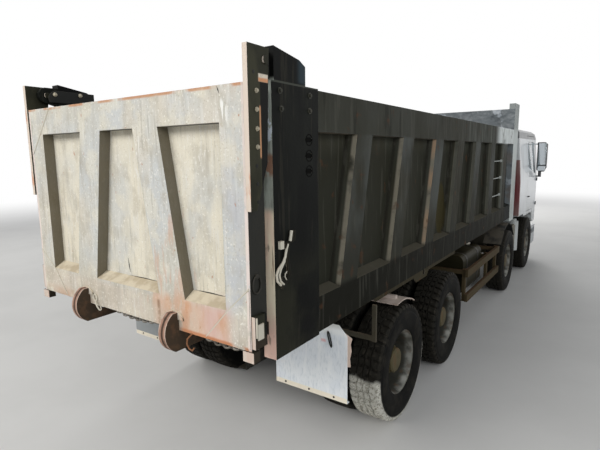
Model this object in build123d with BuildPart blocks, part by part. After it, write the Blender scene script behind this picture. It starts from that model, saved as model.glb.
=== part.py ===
from build123d import *
import math
import os

# An empty four-axle tipper lorry, standing as parked with its bed down.
# Millimetres. +Z is up, the front points to -Y and the lorry's left side is +X.
# The origin is on the ground, under the middle of the whole outline.
# A station is measured forward along the lorry from the tailgate's rear face.

# Overall outline
bumper_front = 9950
hook_reach = 110
middle_station = (bumper_front - hook_reach) / 2

# Fits and gaps
running_fit = 0.3
door_gap = 10
free_gap = 8

# Wheels and axles
tyre_radius = 530
tyre_width = 300
tyre_shoulder = 42
tyre_blocks = 24
rim_radius = 286
rim_wall = 16
disc_plate = 14
wheel_outer_face = 1250
twin_spacing = 350
spindle_radius = 42
hub_radius = 112
hub_cap_length = 60
steered_stations = (8630, 6680)
driven_stations = (3280, 1930)
kingpin_x = 880
kingpin_radius = 20
knuckle_ear = 38
axle_boss_radius = 46
axle_boss_height = 120

# Chassis
rail_outer_x = 430
rail_flange = 80
rail_web = 10
rail_bottom = 730
rail_top = 1000
rail_rear = 720
rail_front = bumper_front - 350
cross_member_depth = 90

# Tipping bed
bed_half_width = 1150
bed_wall = 14
bed_recess = 92
bed_rear = 145
bed_front = 7060
bed_top = 2795
floor_bottom = 1262
floor_plate = 14
sill_bottom = 1225
sill_top = 1500
sill_slope = 30
rail_depth = 250
rib_face = 250
rib_taper = 10
runner_gap = 10
runner_width = 76
pivot_station = 800
pivot_height = 1080
pivot_pin_radius = 32
pivot_boss_radius = 62

# Headboard
post_depth = 370
post_width = 100
post_bottom = 1160
post_top = bed_top + 455
headboard_top = bed_top + 360

# Rear corner pillars and the tailgate's hinge brackets
pillar_rear = 190
pillar_front = 660
pillar_bottom = 1207
pillar_top = bed_top + 9
lamp_hole_length = 70
lamp_hole_width = 30
lamp_hole_heights = (bed_top - 492, bed_top - 398, bed_top - 303)
bracket_front = 520

# Tailgate
gate_half_width = 1127
gate_bottom = 1322
gate_top = bed_top - 21
gate_thickness = 138
gate_recess = 80
gate_stile = 187
gate_top_rail = 194
gate_bottom_rail = 208
gate_ledge = 45
gate_rib_width = 245
gate_rib_top_x = 300
gate_rib_foot_x = 472
hinge_station = 130
hinge_height = gate_top + 121
hinge_pin_radius = 22
bracket_top = hinge_height + 90
arm_thickness = 32
hook_x = 495
hook_thickness = 66

# Telescopic hoist in front of the headboard: the barrel hangs on the bed and the foot stands on the chassis
hoist_station = 7270
hoist_foot_height = 950
hoist_trunnion_height = 1300
hoist_top = bed_top - 95
hoist_barrel_radius = 110
hoist_wall = 11
hoist_stages = 4
hoist_play = 1
hoist_sides = 20
pin_sides = 12

# Cab
cab_rear = 7560
cab_front = bumper_front - 190
cab_half_width = 1220
cab_roof = 2830
cab_wall = 45
cab_tunnel_half = 460
cab_tunnel_top = 1450
cab_hinge_station = cab_front - 70
cab_hinge_height = 830
door_front = cab_front - 260
door_rear = door_front - 1080
door_hinge_x = cab_half_width + 16
door_hinge_station = door_front + door_gap / 2
door_hinge_heights = (1250, 1780)
door_knuckle = 36
door_knuckle_radius = 12


def y_at(station):
    """The Y of a station measured forward from the tailgate's rear face."""
    return middle_station - station


def slab(x_faces, stations, heights, mode=Mode.ADD):
    """A straight block between two X faces, two stations and two heights."""
    x_middle = sum(x_faces) / 2
    y_middle = y_at(sum(stations) / 2)
    z_middle = sum(heights) / 2
    with Locations((x_middle, y_middle, z_middle)):
        Box(
            abs(x_faces[1] - x_faces[0]),
            abs(stations[1] - stations[0]),
            abs(heights[1] - heights[0]),
            mode=mode,
        )


def side_outline(points):
    """A closed outline on a side plane, from (station, height) points."""
    Polygon(*[(y_at(station), height) for station, height in points], align=None)


def cross_outline(points):
    """A closed outline on a plane across the lorry, from (x, height) points."""
    Polygon(*points, align=None)


def across(station):
    """The plane across the lorry at a station; its normal points forward."""
    return Plane.XZ.offset(-y_at(station))


def rod_across(x_faces, station, height, radius, mode=Mode.ADD):
    """A round bar or bore that lies across the lorry."""
    with BuildSketch(Plane.YZ.offset(x_faces[0])) as section:
        with Locations((y_at(station), height)):
            Circle(radius)
    extrude(section.sketch, amount=x_faces[1] - x_faces[0], mode=mode)


def pin_across(x_faces, station, height, radius):
    """A hidden pin or spindle across the lorry, with few sides, that turns in a round bore."""
    with BuildSketch(Plane.YZ.offset(x_faces[0])) as section:
        with Locations((y_at(station), height)):
            RegularPolygon(radius, pin_sides)
    extrude(section.sketch, amount=x_faces[1] - x_faces[0])


def polygon_disc(x_faces, station, apothem, mode=Mode.ADD, taper=0, sides=tyre_blocks):
    """A wheel-shaped prism on a wheel's axis, with one of its flats down."""
    with BuildSketch(Plane.YZ.offset(x_faces[0])) as section:
        with Locations((y_at(station), tyre_radius)):
            RegularPolygon(apothem, sides, rotation=180 / sides, major_radius=False)
    extrude(section.sketch, amount=x_faces[1] - x_faces[0], taper=taper, mode=mode)


def upright_tube(heights, apothem, bore=0):
    """One many-sided tube of the hoist, or a solid bar where no bore is given."""
    with BuildSketch(Plane.XY.offset(heights[0])) as section:
        with Locations((0, y_at(hoist_station))):
            RegularPolygon(apothem, hoist_sides, major_radius=False)
            if bore:
                RegularPolygon(bore, hoist_sides, major_radius=False, mode=Mode.SUBTRACT)
    extrude(section.sketch, amount=heights[1] - heights[0])


pieces = {}


def finish(name, builder):
    """Labels a finished piece and keeps it for the export."""
    builder.part.label = name
    pieces[name] = builder.part


# Chassis frame: two channel rails, cross members, the bed's pivot brackets and the spring hangers
cross_members = (980, 1500, 2605, 3900, 5200, 6100, 6980, 7540)
spring_half_length = 700
spring_width = 76
spring_x = 390
spring_leaf = 26
hanger_length = 60
front_spring_height = 640
bogie_spring_height = 662
pivot_cheek = 22
hoist_cradle_half = 120
cradle_x = 62
cradle_plate = 20
hoist_pin_radius = 26
lug_x = 390
lug_half = 15
lug_radius = 38
lug_cheek = 16
cab_pin_radius = 16
with BuildPart() as chassis_frame:
    channel = [
        (rail_outer_x - rail_flange, rail_bottom),
        (rail_outer_x, rail_bottom),
        (rail_outer_x, rail_top),
        (rail_outer_x - rail_flange, rail_top),
        (rail_outer_x - rail_flange, rail_top - rail_web),
        (rail_outer_x - rail_web, rail_top - rail_web),
        (rail_outer_x - rail_web, rail_bottom + rail_web),
        (rail_outer_x - rail_flange, rail_bottom + rail_web),
    ]
    with BuildSketch(across(rail_rear)):
        cross_outline(channel)
    extrude(amount=rail_front - rail_rear)
    for wheel_station in steered_stations:
        for end in (-1, 1):
            middle = wheel_station + end * spring_half_length
            slab(
                (spring_x - spring_width / 2, rail_outer_x),
                (middle - hanger_length / 2, middle + hanger_length / 2),
                (front_spring_height + spring_leaf, rail_bottom),
            )
    with BuildSketch(Plane.YZ.offset(rail_outer_x)):
        with BuildLine():
            Polyline(
                (y_at(pivot_station) - pivot_boss_radius, pivot_height),
                (y_at(pivot_station) - 110, rail_bottom + 40),
                (y_at(pivot_station) + 76, rail_bottom + 40),
                (y_at(pivot_station) + pivot_boss_radius, pivot_height),
            )
            RadiusArc(
                (y_at(pivot_station) + pivot_boss_radius, pivot_height),
                (y_at(pivot_station) - pivot_boss_radius, pivot_height),
                pivot_boss_radius,
            )
        make_face()
        with Locations((y_at(pivot_station), pivot_height)):
            Circle(pivot_pin_radius + running_fit, mode=Mode.SUBTRACT)
    extrude(amount=pivot_cheek)
    mirror(about=Plane.YZ)
    for station in cross_members:
        slab(
            (-rail_outer_x + rail_web, rail_outer_x - rail_web),
            (station - cross_member_depth / 2, station + cross_member_depth / 2),
            (rail_bottom + 60, rail_top - 60),
        )
    # The hoist stands on a pin between two plates
    for side in (-1, 1):
        slab(
            (side * cradle_x, side * (cradle_x + cradle_plate)),
            (hoist_station - hoist_cradle_half, hoist_station + hoist_cradle_half),
            (rail_bottom + 60, rail_top),
        )
        slab(
            (side * cradle_x, side * (rail_outer_x - rail_web)),
            (hoist_station - 30, hoist_station + 30),
            (rail_bottom + 60, rail_top - 40),
        )
    pin_across(
        (-cradle_x - cradle_plate - 8, cradle_x + cradle_plate + 8),
        hoist_station,
        hoist_foot_height,
        hoist_pin_radius,
    )
    # Two cheeks at each rail's nose hold the cab's hinge lug
    for side in (-1, 1):
        for face in (-1, 1):
            near = side * lug_x + face * (lug_half + running_fit)
            with BuildSketch(Plane.YZ.offset(near)):
                side_outline([
                    (rail_front - 40, rail_bottom),
                    (cab_hinge_station, cab_hinge_height - lug_radius),
                    (cab_hinge_station, cab_hinge_height + lug_radius),
                    (rail_front - 40, cab_hinge_height + lug_radius),
                ])
                with Locations((y_at(cab_hinge_station), cab_hinge_height)):
                    RegularPolygon(lug_radius, 8, major_radius=False)
                    Circle(cab_pin_radius + running_fit, mode=Mode.SUBTRACT)
            extrude(amount=face * lug_cheek)
finish("chassis_frame", chassis_frame)


# Front axles: dropped beams with kingpin bosses, on leaf springs
beam_drop = 100
beam_height = 84
beam_depth = 90
with BuildPart() as front_axles:
    for station in steered_stations:
        beam_bottom = tyre_radius - beam_drop - beam_height / 2
        beam_top = beam_bottom + beam_height
        boss_low = tyre_radius - axle_boss_height / 2
        boss_high = tyre_radius + axle_boss_height / 2
        with BuildSketch(across(station - beam_depth / 2)):
            cross_outline([
                (0, beam_bottom),
                (spring_x + spring_width, beam_bottom),
                (kingpin_x - axle_boss_radius - 14, boss_low),
                (kingpin_x, boss_low),
                (kingpin_x, boss_high - 10),
                (kingpin_x - 120, boss_high - 20),
                (spring_x + spring_width, beam_top),
                (0, beam_top),
            ])
            mirror(about=Plane.YZ)
        extrude(amount=beam_depth)
        for side in (-1, 1):
            with BuildSketch(Plane.XY.offset(boss_low)):
                with Locations((side * kingpin_x, y_at(station))):
                    RegularPolygon(axle_boss_radius, 8, major_radius=False)
            extrude(amount=axle_boss_height)
            with BuildSketch(Plane.XY.offset(boss_low)):
                with Locations((side * kingpin_x, y_at(station))):
                    Circle(kingpin_radius + running_fit)
            extrude(amount=axle_boss_height, mode=Mode.SUBTRACT)
            # The spring is a shallow arch whose ends meet their hangers
            spring_low = front_spring_height - 100
            with BuildSketch(Plane.YZ.offset(side * spring_x - spring_width / 2)):
                with BuildLine():
                    ends = y_at(station) - spring_half_length - 30, y_at(station) + spring_half_length + 30
                    ThreePointArc(
                        (ends[0], front_spring_height),
                        (y_at(station), spring_low),
                        (ends[1], front_spring_height),
                    )
                    Line((ends[1], front_spring_height), (ends[1], front_spring_height + spring_leaf))
                    ThreePointArc(
                        (ends[1], front_spring_height + spring_leaf),
                        (y_at(station), spring_low + 70),
                        (ends[0], front_spring_height + spring_leaf),
                    )
                    Line((ends[0], front_spring_height + spring_leaf), (ends[0], front_spring_height))
                make_face()
            extrude(amount=spring_width)
            slab(
                (side * spring_x - spring_width / 2, side * spring_x + spring_width / 2),
                (station - beam_depth / 2, station + beam_depth / 2),
                (beam_top - 10, spring_low + 30),
            )
finish("front_axles", front_axles)


# Rear axles: two driven axle housings joined by the bogie springs
housing_radius = 84
differential_radius = 215
differential_half = 190
differential_bevel = 110
housing_end = 610
spindle_end = 1020
trunnion_station = sum(driven_stations) / 2
bogie_spring_x = 505
shaft_radius = 48
shaft_height = 600
nose_length = 280
rear_nose_length = 260
differentials = []
for station in driven_stations:
    with BuildPart() as differential:
        polygon_disc((-differential_half, differential_half), station, differential_radius, sides=12)
        chamfer(differential.edges().filter_by(Axis.X, reverse=True), differential_bevel)
    differentials.append(differential.part)
with BuildPart() as rear_axles:
    for station, differential_body in zip(driven_stations, differentials):
        add(differential_body)
        polygon_disc((-housing_end, housing_end), station, housing_radius, sides=12)
        pin_across((-spindle_end, spindle_end), station, tyre_radius, spindle_radius)
        for side in (-1, 1):
            slab(
                (side * bogie_spring_x - 45, side * bogie_spring_x + 45),
                (station - 70, station + 70),
                (tyre_radius, bogie_spring_height + 16),
            )
        # The pinion nose points forward and carries the shaft
        with BuildSketch(across(station)):
            with Locations((0, shaft_height)):
                RegularPolygon(shaft_radius + 22, 10)
        extrude(amount=nose_length)
    # The forward axle passes the drive on from a nose at its back
    with BuildSketch(across(driven_stations[0] - rear_nose_length)):
        with Locations((0, shaft_height)):
            RegularPolygon(shaft_radius + 22, 10)
    extrude(amount=rear_nose_length)
    for side in (-1, 1):
        with BuildSketch(Plane.YZ.offset(side * bogie_spring_x - 40)):
            low_ends = [y_at(station) for station in driven_stations]
            with BuildLine():
                ThreePointArc(
                    (low_ends[0] - 90, bogie_spring_height),
                    (y_at(trunnion_station), bogie_spring_height + 40),
                    (low_ends[1] + 90, bogie_spring_height),
                )
                Line((low_ends[1] + 90, bogie_spring_height), (low_ends[1] + 90, bogie_spring_height + 30))
                ThreePointArc(
                    (low_ends[1] + 90, bogie_spring_height + 30),
                    (y_at(trunnion_station), bogie_spring_height + 170),
                    (low_ends[0] - 90, bogie_spring_height + 30),
                )
                Line((low_ends[0] - 90, bogie_spring_height + 30), (low_ends[0] - 90, bogie_spring_height))
            make_face()
        extrude(amount=80)
        # The trunnion bracket carries the spring's middle on the chassis rail
        slab(
            (side * rail_outer_x, side * (bogie_spring_x + 55)),
            (trunnion_station - 110, trunnion_station + 110),
            (bogie_spring_height + 20, rail_top - 60),
        )
finish("rear_axles", rear_axles)


# Driveline: propeller shafts between the axles' pinion noses and the gearbox
gearbox_rear = 7640
engine_rear = 8180
engine_front = 9380
engine_half = 320
engine_bottom = 550
engine_top = 1320
bell_length = 150
with BuildPart() as driveline:
    shaft_runs = (
        (driven_stations[0] + nose_length, gearbox_rear),
        (driven_stations[1] + nose_length, driven_stations[0] - rear_nose_length),
    )
    for rear, front in shaft_runs:
        with BuildSketch(across(rear)):
            with Locations((0, shaft_height)):
                RegularPolygon(shaft_radius, 10)
        extrude(amount=front - rear)
    # The gearbox steps up to the round housing at the engine's back
    gearbox_steps = (
        # rear station, front station, height of its middle, half its width
        (gearbox_rear, engine_rear - bell_length, shaft_height + 60, 150),
        (engine_rear - bell_length, engine_rear, shaft_height + 120, 225),
    )
    for rear, front, middle, half in gearbox_steps:
        with BuildSketch(across(rear)):
            with Locations((0, middle)):
                RegularPolygon(half, 8, rotation=22.5, major_radius=False)
        extrude(amount=front - rear)
finish("driveline", driveline)

with BuildPart() as engine:
    slab((-engine_half, engine_half), (engine_rear, engine_front), (engine_bottom, engine_top))
finish("engine", engine)


# Fuel tank on the right, with a filler neck, and an exhaust box on the left
tank_rear = 4300
tank_front = 5250
tank_inner = 450
tank_outer = 1110
tank_bottom = 500
tank_top = 1040
tank_corner = 90
neck_radius = 45
exhaust_length = 700
pipe_radius = 60
pipe_length = 160
with BuildPart() as fuel_tank:
    with BuildSketch(across(tank_rear)):
        with Locations((-(tank_inner + tank_outer) / 2, (tank_bottom + tank_top) / 2)):
            RectangleRounded(tank_outer - tank_inner, tank_top - tank_bottom, tank_corner)
    extrude(amount=tank_front - tank_rear)
    with BuildSketch(Plane.XY.offset(tank_top)):
        with Locations((-(tank_outer - 2 * tank_corner), y_at(tank_front - 150))):
            Circle(neck_radius)
    extrude(amount=35)
    for station in (tank_rear + 150, tank_front - 150):
        slab((-rail_outer_x, -tank_inner), (station - 40, station + 40), (rail_bottom + 20, rail_top - 60))
finish("fuel_tank", fuel_tank)

with BuildPart() as exhaust_box:
    with BuildSketch(across(tank_rear)):
        with Locations(((tank_inner + tank_outer) / 2, (tank_bottom + tank_top) / 2)):
            RectangleRounded(tank_outer - tank_inner, tank_top - tank_bottom, 40)
    extrude(amount=exhaust_length)
    slab((rail_outer_x, tank_inner), (tank_rear + 200, tank_rear + 500), (rail_bottom + 20, rail_top - 60))
    with BuildSketch(across(tank_rear + exhaust_length)):
        with Locations((tank_inner + 180, tank_bottom + 200)):
            Circle(pipe_radius)
    extrude(amount=pipe_length)
finish("exhaust_box", exhaust_box)


# Battery box on the right and air tanks on the left, between the two steered axles' turning wheels
box_rear = 7340
box_front = 7650
box_outer = 1160
box_bottom = 480
box_top = 1040
with BuildPart() as battery_box:
    slab((-box_outer, -tank_inner), (box_rear, box_front), (box_bottom, box_top))
    edges_along = battery_box.edges().filter_by(Axis.Y)
    fillet(edges_along, 30)
    slab((-rail_outer_x, -tank_inner), (box_rear + 100, box_front - 100), (rail_bottom + 20, rail_top - 60))
finish("battery_box", battery_box)

# An upright air filter canister stands behind the cab's right corner
canister_x = -1110
canister_station = 7760
canister_radius = 85
canister_bottom = 520
canister_top = 1090
canister_neck = 40
canister_arm = (rail_bottom + 60, rail_bottom + 110)
with BuildPart() as air_filter:
    with BuildSketch(Plane.XY.offset(canister_bottom)):
        with Locations((canister_x, y_at(canister_station))):
            RegularPolygon(canister_radius, 16, major_radius=False)
    extrude(amount=canister_top - canister_bottom)
    with BuildSketch(Plane.XY.offset(canister_top)):
        with Locations((canister_x, y_at(canister_station))):
            RegularPolygon(canister_radius * 0.6, 16, major_radius=False)
    extrude(amount=canister_neck)
    slab((-rail_outer_x, canister_x), (canister_station - 30, canister_station + 30), canister_arm)
finish("air_filter", air_filter)

air_tank_radius = 130
air_tank_x = (620, 905)
air_tank_height = 820
air_tank_rear = 7350
air_tank_front = 7940
with BuildPart() as air_tanks:
    with BuildSketch(across(air_tank_rear)):
        with Locations(*[(x, air_tank_height) for x in air_tank_x]):
            RegularPolygon(air_tank_radius, 16)
        with Locations((sum(air_tank_x) / 2, air_tank_height)):
            Rectangle(100, 30)
    extrude(amount=air_tank_front - air_tank_rear)
    slab(
        (rail_outer_x, air_tank_x[0] - air_tank_radius + 10),
        (air_tank_rear + 200, air_tank_front - 200),
        (air_tank_height - 40, air_tank_height + 40),
    )
finish("air_tanks", air_tanks)


# Side guards: two rails a side on posts, on arms from the chassis
guard_rear = 4150
guard_front = 6030
guard_face = 1215
guard_depth = 40
guard_arms = (4200, 5380, 5990)
guard_rails = ((470, 570), (800, 900))
guard_arm_height = (830, 880)
with BuildPart() as side_guards:
    for low, high in guard_rails:
        slab((guard_face - guard_depth, guard_face), (guard_rear, guard_front), (low, high))
    for station in guard_arms:
        slab(
            (guard_face - 2 * guard_depth, guard_face - guard_depth),
            (station - 30, station + 30),
            (guard_rails[0][0], guard_rails[1][1]),
        )
        slab((rail_outer_x, guard_face - guard_depth), (station - 25, station + 25), guard_arm_height)
    mirror(about=Plane.YZ)
finish("side_guards", side_guards)


# What is left of the rear mudguards: an arched piece over each last wheel, on an arm, and one bare stay
guard_arch_inner = 575
guard_arch_plate = 8
guard_arch_width = (960, 1225)
stay_station = 1420
stay_heights = (900, 1210)
stay_width = (1180, 1215)
with BuildPart() as rear_mudguards:
    axle_y = y_at(driven_stations[1])
    with BuildSketch(Plane.YZ.offset(guard_arch_width[0])):
        with BuildLine():
            arc_ends = []
            for radius in (guard_arch_inner, guard_arch_inner + guard_arch_plate):
                arc_ends.append([
                    (axle_y - radius * math.sin(angle), tyre_radius + radius * math.cos(angle))
                    for angle in (math.radians(-12), math.radians(9), math.radians(30))
                ])
            ThreePointArc(*arc_ends[0])
            ThreePointArc(*arc_ends[1])
            Line(arc_ends[0][0], arc_ends[1][0])
            Line(arc_ends[0][2], arc_ends[1][2])
        make_face()
    extrude(amount=guard_arch_width[1] - guard_arch_width[0])
    stay_top = tyre_radius + guard_arch_inner + guard_arch_plate
    arm_stations = (driven_stations[1] - 20, driven_stations[1] + 20)
    slab((rail_outer_x, guard_arch_width[1] - 60), arm_stations, (stay_top - 1, stay_top + 30))
    slab((rail_outer_x, rail_outer_x + 30), arm_stations, (rail_top - 100, stay_top + 30))
    slab(stay_width, (stay_station - 20, stay_station), stay_heights)
    stay_foot = (stay_heights[0] + 5, stay_heights[0] + 45)
    slab((rail_outer_x, stay_width[0]), (stay_station - 20, stay_station), stay_foot)
    mirror(about=Plane.YZ)
finish("rear_mudguards", rear_mudguards)

# Whole mudguards over the second steered axle, wide enough for its wheels to turn
steer_arch_inner = 660
steer_arch_span = (-56, -28, 0, 28, 56)
steer_arch_width = (930, 1215)
steer_arm_depth = 40
with BuildPart() as front_mudguards:
    axle_y = y_at(steered_stations[1])
    rims = []
    for radius in (steer_arch_inner, steer_arch_inner + guard_arch_plate):
        rims.append([
            (axle_y - radius * math.sin(angle), tyre_radius + radius * math.cos(angle))
            for angle in (math.radians(degrees) for degrees in steer_arch_span)
        ])
    with BuildSketch(Plane.YZ.offset(steer_arch_width[0])):
        Polygon(*rims[0], *reversed(rims[1]), align=None)
    extrude(amount=steer_arch_width[1] - steer_arch_width[0])
    arm_rise = tyre_radius + steer_arch_inner
    arm_stations = (steered_stations[1] - 20, steered_stations[1] + 20)
    slab((rail_outer_x, steer_arch_width[1] - 60), arm_stations, (arm_rise - steer_arm_depth, arm_rise + 1))
    slab((rail_outer_x, rail_outer_x + 30), arm_stations, (rail_top - 100, arm_rise + 1))
    mirror(about=Plane.YZ)
finish("front_mudguards", front_mudguards)


# Aluminium flap plates behind the last wheels, on a tube from the chassis
flap_station = 900
flap_plate = 6
flap_inner = 587
flap_outer = 1231
flap_bottom = 610
flap_top = 1195
flap_corner = 70
flap_fold = 34
flap_tube = 40
flap_tube_height = 930
with BuildPart() as rear_flap_plates:
    with BuildSketch(across(flap_station)):
        cross_outline([
            (flap_inner, flap_bottom),
            (flap_outer, flap_bottom),
            (flap_outer, flap_top - flap_corner),
            (flap_outer - flap_corner, flap_top),
            (flap_inner, flap_top),
        ])
    extrude(amount=flap_plate)
    fold_heights = (flap_bottom, flap_bottom + flap_plate)
    slab((flap_inner, flap_outer), (flap_station, flap_station + flap_fold), fold_heights)
    tube_stations = (flap_station + flap_plate, flap_station + flap_plate + flap_tube)
    slab((rail_outer_x, flap_outer - 80), tube_stations, (flap_tube_height, flap_tube_height + flap_tube))
    mirror(about=Plane.YZ)
finish("rear_flap_plates", rear_flap_plates)


# Front bumper with its ends drawn back as steps, and brackets under the chassis rails
bumper_half = 1210
bumper_bottom = 380
bumper_top = 780
bumper_rear = bumper_front - 150
step_rear = bumper_front - 640
step_inner = 1010
step_heights = (bumper_top - 170, bumper_top - 60)
lamp_x = (820, 1070)
lamp_z = (520, 690)
lamp_depth = 60
intake_half = 560
intake_heights = (640, 720)
tow_x = 390
tow_radius = 24
with BuildPart() as front_bumper:
    with BuildSketch(Plane.XY.offset(bumper_bottom)):
        with BuildLine():
            Polyline(
                (0, y_at(bumper_front)),
                (bumper_half - 160, y_at(bumper_front)),
                (bumper_half, y_at(bumper_front - 140)),
                (bumper_half, y_at(step_rear)),
                (step_inner, y_at(step_rear)),
                (step_inner, y_at(bumper_rear)),
                (0, y_at(bumper_rear)),
                close=True,
            )
        make_face()
        mirror(about=Plane.YZ)
    extrude(amount=bumper_top - bumper_bottom)
    lamp_stations = (bumper_front - lamp_depth, bumper_front)
    slab((-intake_half, intake_half), lamp_stations, intake_heights, Mode.SUBTRACT)
    for side in (-1, 1):
        step_x = (side * step_inner, side * bumper_half)
        slab(step_x, (step_rear, bumper_rear), step_heights, Mode.SUBTRACT)
        slab(
            (side * (rail_outer_x - rail_flange), side * rail_outer_x),
            (rail_front - 150, bumper_rear),
            (rail_bottom - 90, rail_bottom),
        )
        slab((side * lamp_x[0], side * lamp_x[1]), lamp_stations, lamp_z, Mode.SUBTRACT)
        with BuildSketch(across(bumper_rear - 1)):
            with Locations((side * tow_x, (bumper_bottom + bumper_top) / 2)):
                Circle(tow_radius)
        extrude(amount=bumper_front - bumper_rear + 2, mode=Mode.SUBTRACT)
finish("front_bumper", front_bumper)

with BuildPart() as headlamps:
    for side in (-1, 1):
        slab((side * lamp_x[0], side * lamp_x[1]), lamp_stations, lamp_z)
finish("headlamps", headlamps)


# Tipping bed: floor on two runners and cross bearers, turning on a pivot behind the last axle
inner_x = bed_half_width - bed_recess - bed_wall
wall_x = bed_half_width - bed_recess
runner_inner = rail_outer_x - rail_flange
runner_outer = runner_inner + runner_width
runner_bottom = rail_top + runner_gap
bearer_rear = 360
bearer_pitch = 745
bearer_count = 9
bearer_width = 70
bearer_depth = 80
with BuildPart() as bed_floor:
    slab((-inner_x, inner_x), (bed_rear, bed_front), (floor_bottom, floor_bottom + floor_plate))
    for number in range(bearer_count):
        middle = bearer_rear + bearer_width / 2 + number * bearer_pitch
        slab(
            (-inner_x, inner_x),
            (middle - bearer_width / 2, middle + bearer_width / 2),
            (floor_bottom - bearer_depth, floor_bottom),
        )
    for side in (-1, 1):
        with BuildSketch(Plane.YZ.offset(side * (runner_inner + runner_width / 2) - runner_width / 2)):
            with BuildLine():
                Polyline(
                    (y_at(pivot_station), pivot_height - pivot_boss_radius),
                    (y_at(pivot_station + 150), runner_bottom),
                    (y_at(bed_front), runner_bottom),
                    (y_at(bed_front), floor_bottom),
                    (y_at(pivot_station - 120), floor_bottom),
                    (y_at(pivot_station) + pivot_boss_radius, pivot_height),
                )
                RadiusArc(
                    (y_at(pivot_station) + pivot_boss_radius, pivot_height),
                    (y_at(pivot_station), pivot_height - pivot_boss_radius),
                    pivot_boss_radius,
                )
            make_face()
        extrude(amount=runner_width)
        pin_across(
            (side * runner_outer, side * (rail_outer_x + pivot_cheek + 12)),
            pivot_station,
            pivot_height,
            pivot_pin_radius,
        )
finish("bed_floor", bed_floor)


# Bed sides: a wall with a top rail, a sloping-shouldered sill and leaning ribs
rib_table = (
    # middle of the rib at the rail, how far its foot stands further back
    (1320, 260),
    (2190, 270),
    (3060, 270),
    (3850, 240),
    (4670, 215),
    (5540, 70),
    (6440, 60),
)
lip_rear = 1600
lip_front = 3980
lip_bottom = 1154
lip_tab = (2590, 2900)
lip_tab_bottom = 1095
lip_slot = (2790, 2840)
rail_bottom_edge = bed_top - rail_depth
rung_heights = (1719, 1998, 2268)
rung_radius = 9
with BuildPart() as bed_side_left:
    slab((inner_x, wall_x), (bed_rear, bed_front), (floor_bottom, bed_top))
    slab((wall_x, bed_half_width), (pillar_front, bed_front), (rail_bottom_edge, bed_top))
    with BuildSketch(across(pillar_front)):
        cross_outline([
            (wall_x, sill_bottom),
            (bed_half_width, sill_bottom),
            (bed_half_width, sill_top - sill_slope),
            (wall_x, sill_top),
        ])
    extrude(amount=bed_front - pillar_front)
    for top_middle, lean in rib_table:
        foot_middle = top_middle - lean
        base = rib_face / 2 + bed_recess * math.tan(math.radians(rib_taper))
        with BuildSketch(Plane.YZ.offset(wall_x)):
            side_outline([
                (foot_middle - base, sill_top - sill_slope - 40),
                (foot_middle + base, sill_top - sill_slope - 40),
                (top_middle + base, rail_bottom_edge + 40),
                (top_middle - base, rail_bottom_edge + 40),
            ])
        extrude(amount=bed_recess, taper=rib_taper)
    with BuildSketch(Plane.YZ.offset(bed_half_width - 60)):
        side_outline([
            (lip_rear, sill_bottom),
            (lip_rear + 30, lip_bottom),
            (lip_tab[0] - 60, lip_bottom),
            (lip_tab[0], lip_tab_bottom),
            (lip_tab[1], lip_tab_bottom),
            (lip_tab[1] + 60, lip_bottom),
            (lip_front - 80, lip_bottom),
            (lip_front, sill_bottom),
        ])
    extrude(amount=10)
    slot_x = (bed_half_width - 70, bed_half_width - 40)
    slab(slot_x, lip_slot, (lip_bottom - 24, sill_bottom - 16), Mode.SUBTRACT)
finish("bed_side_left", bed_side_left)

# The right side also has ladder rungs between its last two ribs
rung_rear = rib_table[-2][0]
rung_front = rib_table[-1][0] - rib_table[-1][1]
with BuildPart() as bed_side_right:
    add(mirror(bed_side_left.part, about=Plane.YZ))
    for height in rung_heights:
        with BuildSketch(across(rung_rear)):
            with Locations((-(bed_half_width - 30), height)):
                RegularPolygon(rung_radius, 6)
        extrude(amount=rung_front - rung_rear)
finish("bed_side_right", bed_side_right)


# Headboard: a plate between channel posts, with stiffeners and the brackets of the hoist's trunnions
headboard_plate = 14
beam_depth_front = 70
foot_beam_depth = 36
post_wall = 12
stiffener_x = 420
trunnion_radius = 26
trunnion_boss = 56
bracket_x = hoist_barrel_radius + 2 * free_gap
bracket_plate = 24
plate_front = bed_front + headboard_plate
with BuildPart() as bed_headboard:
    slab((-bed_half_width, bed_half_width), (bed_front, plate_front), (floor_bottom, headboard_top))
    for side in (-1, 1):
        with BuildSketch(Plane.XY.offset(post_bottom)):
            with BuildLine():
                outer, inner = bed_half_width, bed_half_width - post_width
                near, far = plate_front, plate_front + post_depth
                Polyline(
                    (side * inner, y_at(near)),
                    (side * outer, y_at(near)),
                    (side * outer, y_at(far)),
                    (side * inner, y_at(far)),
                    (side * inner, y_at(far - post_wall)),
                    (side * (outer - post_wall), y_at(far - post_wall)),
                    (side * (outer - post_wall), y_at(near + post_wall)),
                    (side * inner, y_at(near + post_wall)),
                    close=True,
                )
            make_face()
        extrude(amount=post_top - post_bottom)
        slab(
            (side * (stiffener_x - 40), side * (stiffener_x + 40)),
            (plate_front, plate_front + beam_depth_front),
            (floor_bottom, headboard_top),
        )
        with BuildSketch(Plane.YZ.offset(side * (bracket_x + bracket_plate / 2) - bracket_plate / 2)):
            side_outline([
                (plate_front, floor_bottom),
                (hoist_station, hoist_trunnion_height - trunnion_boss),
                (hoist_station, hoist_trunnion_height + trunnion_boss),
                (plate_front, hoist_trunnion_height + 3 * trunnion_boss),
            ])
            with Locations((y_at(hoist_station), hoist_trunnion_height)):
                RegularPolygon(trunnion_boss, 10, major_radius=False)
                Circle(trunnion_radius + running_fit, mode=Mode.SUBTRACT)
        extrude(amount=bracket_plate)
    foot_beam = (plate_front, plate_front + foot_beam_depth)
    top_beam = (plate_front, plate_front + beam_depth_front)
    slab((-inner_x, inner_x), foot_beam, (floor_bottom, floor_bottom + 120))
    slab((-inner_x, inner_x), top_beam, (headboard_top - 110, headboard_top))
finish("bed_headboard", bed_headboard)


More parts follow.
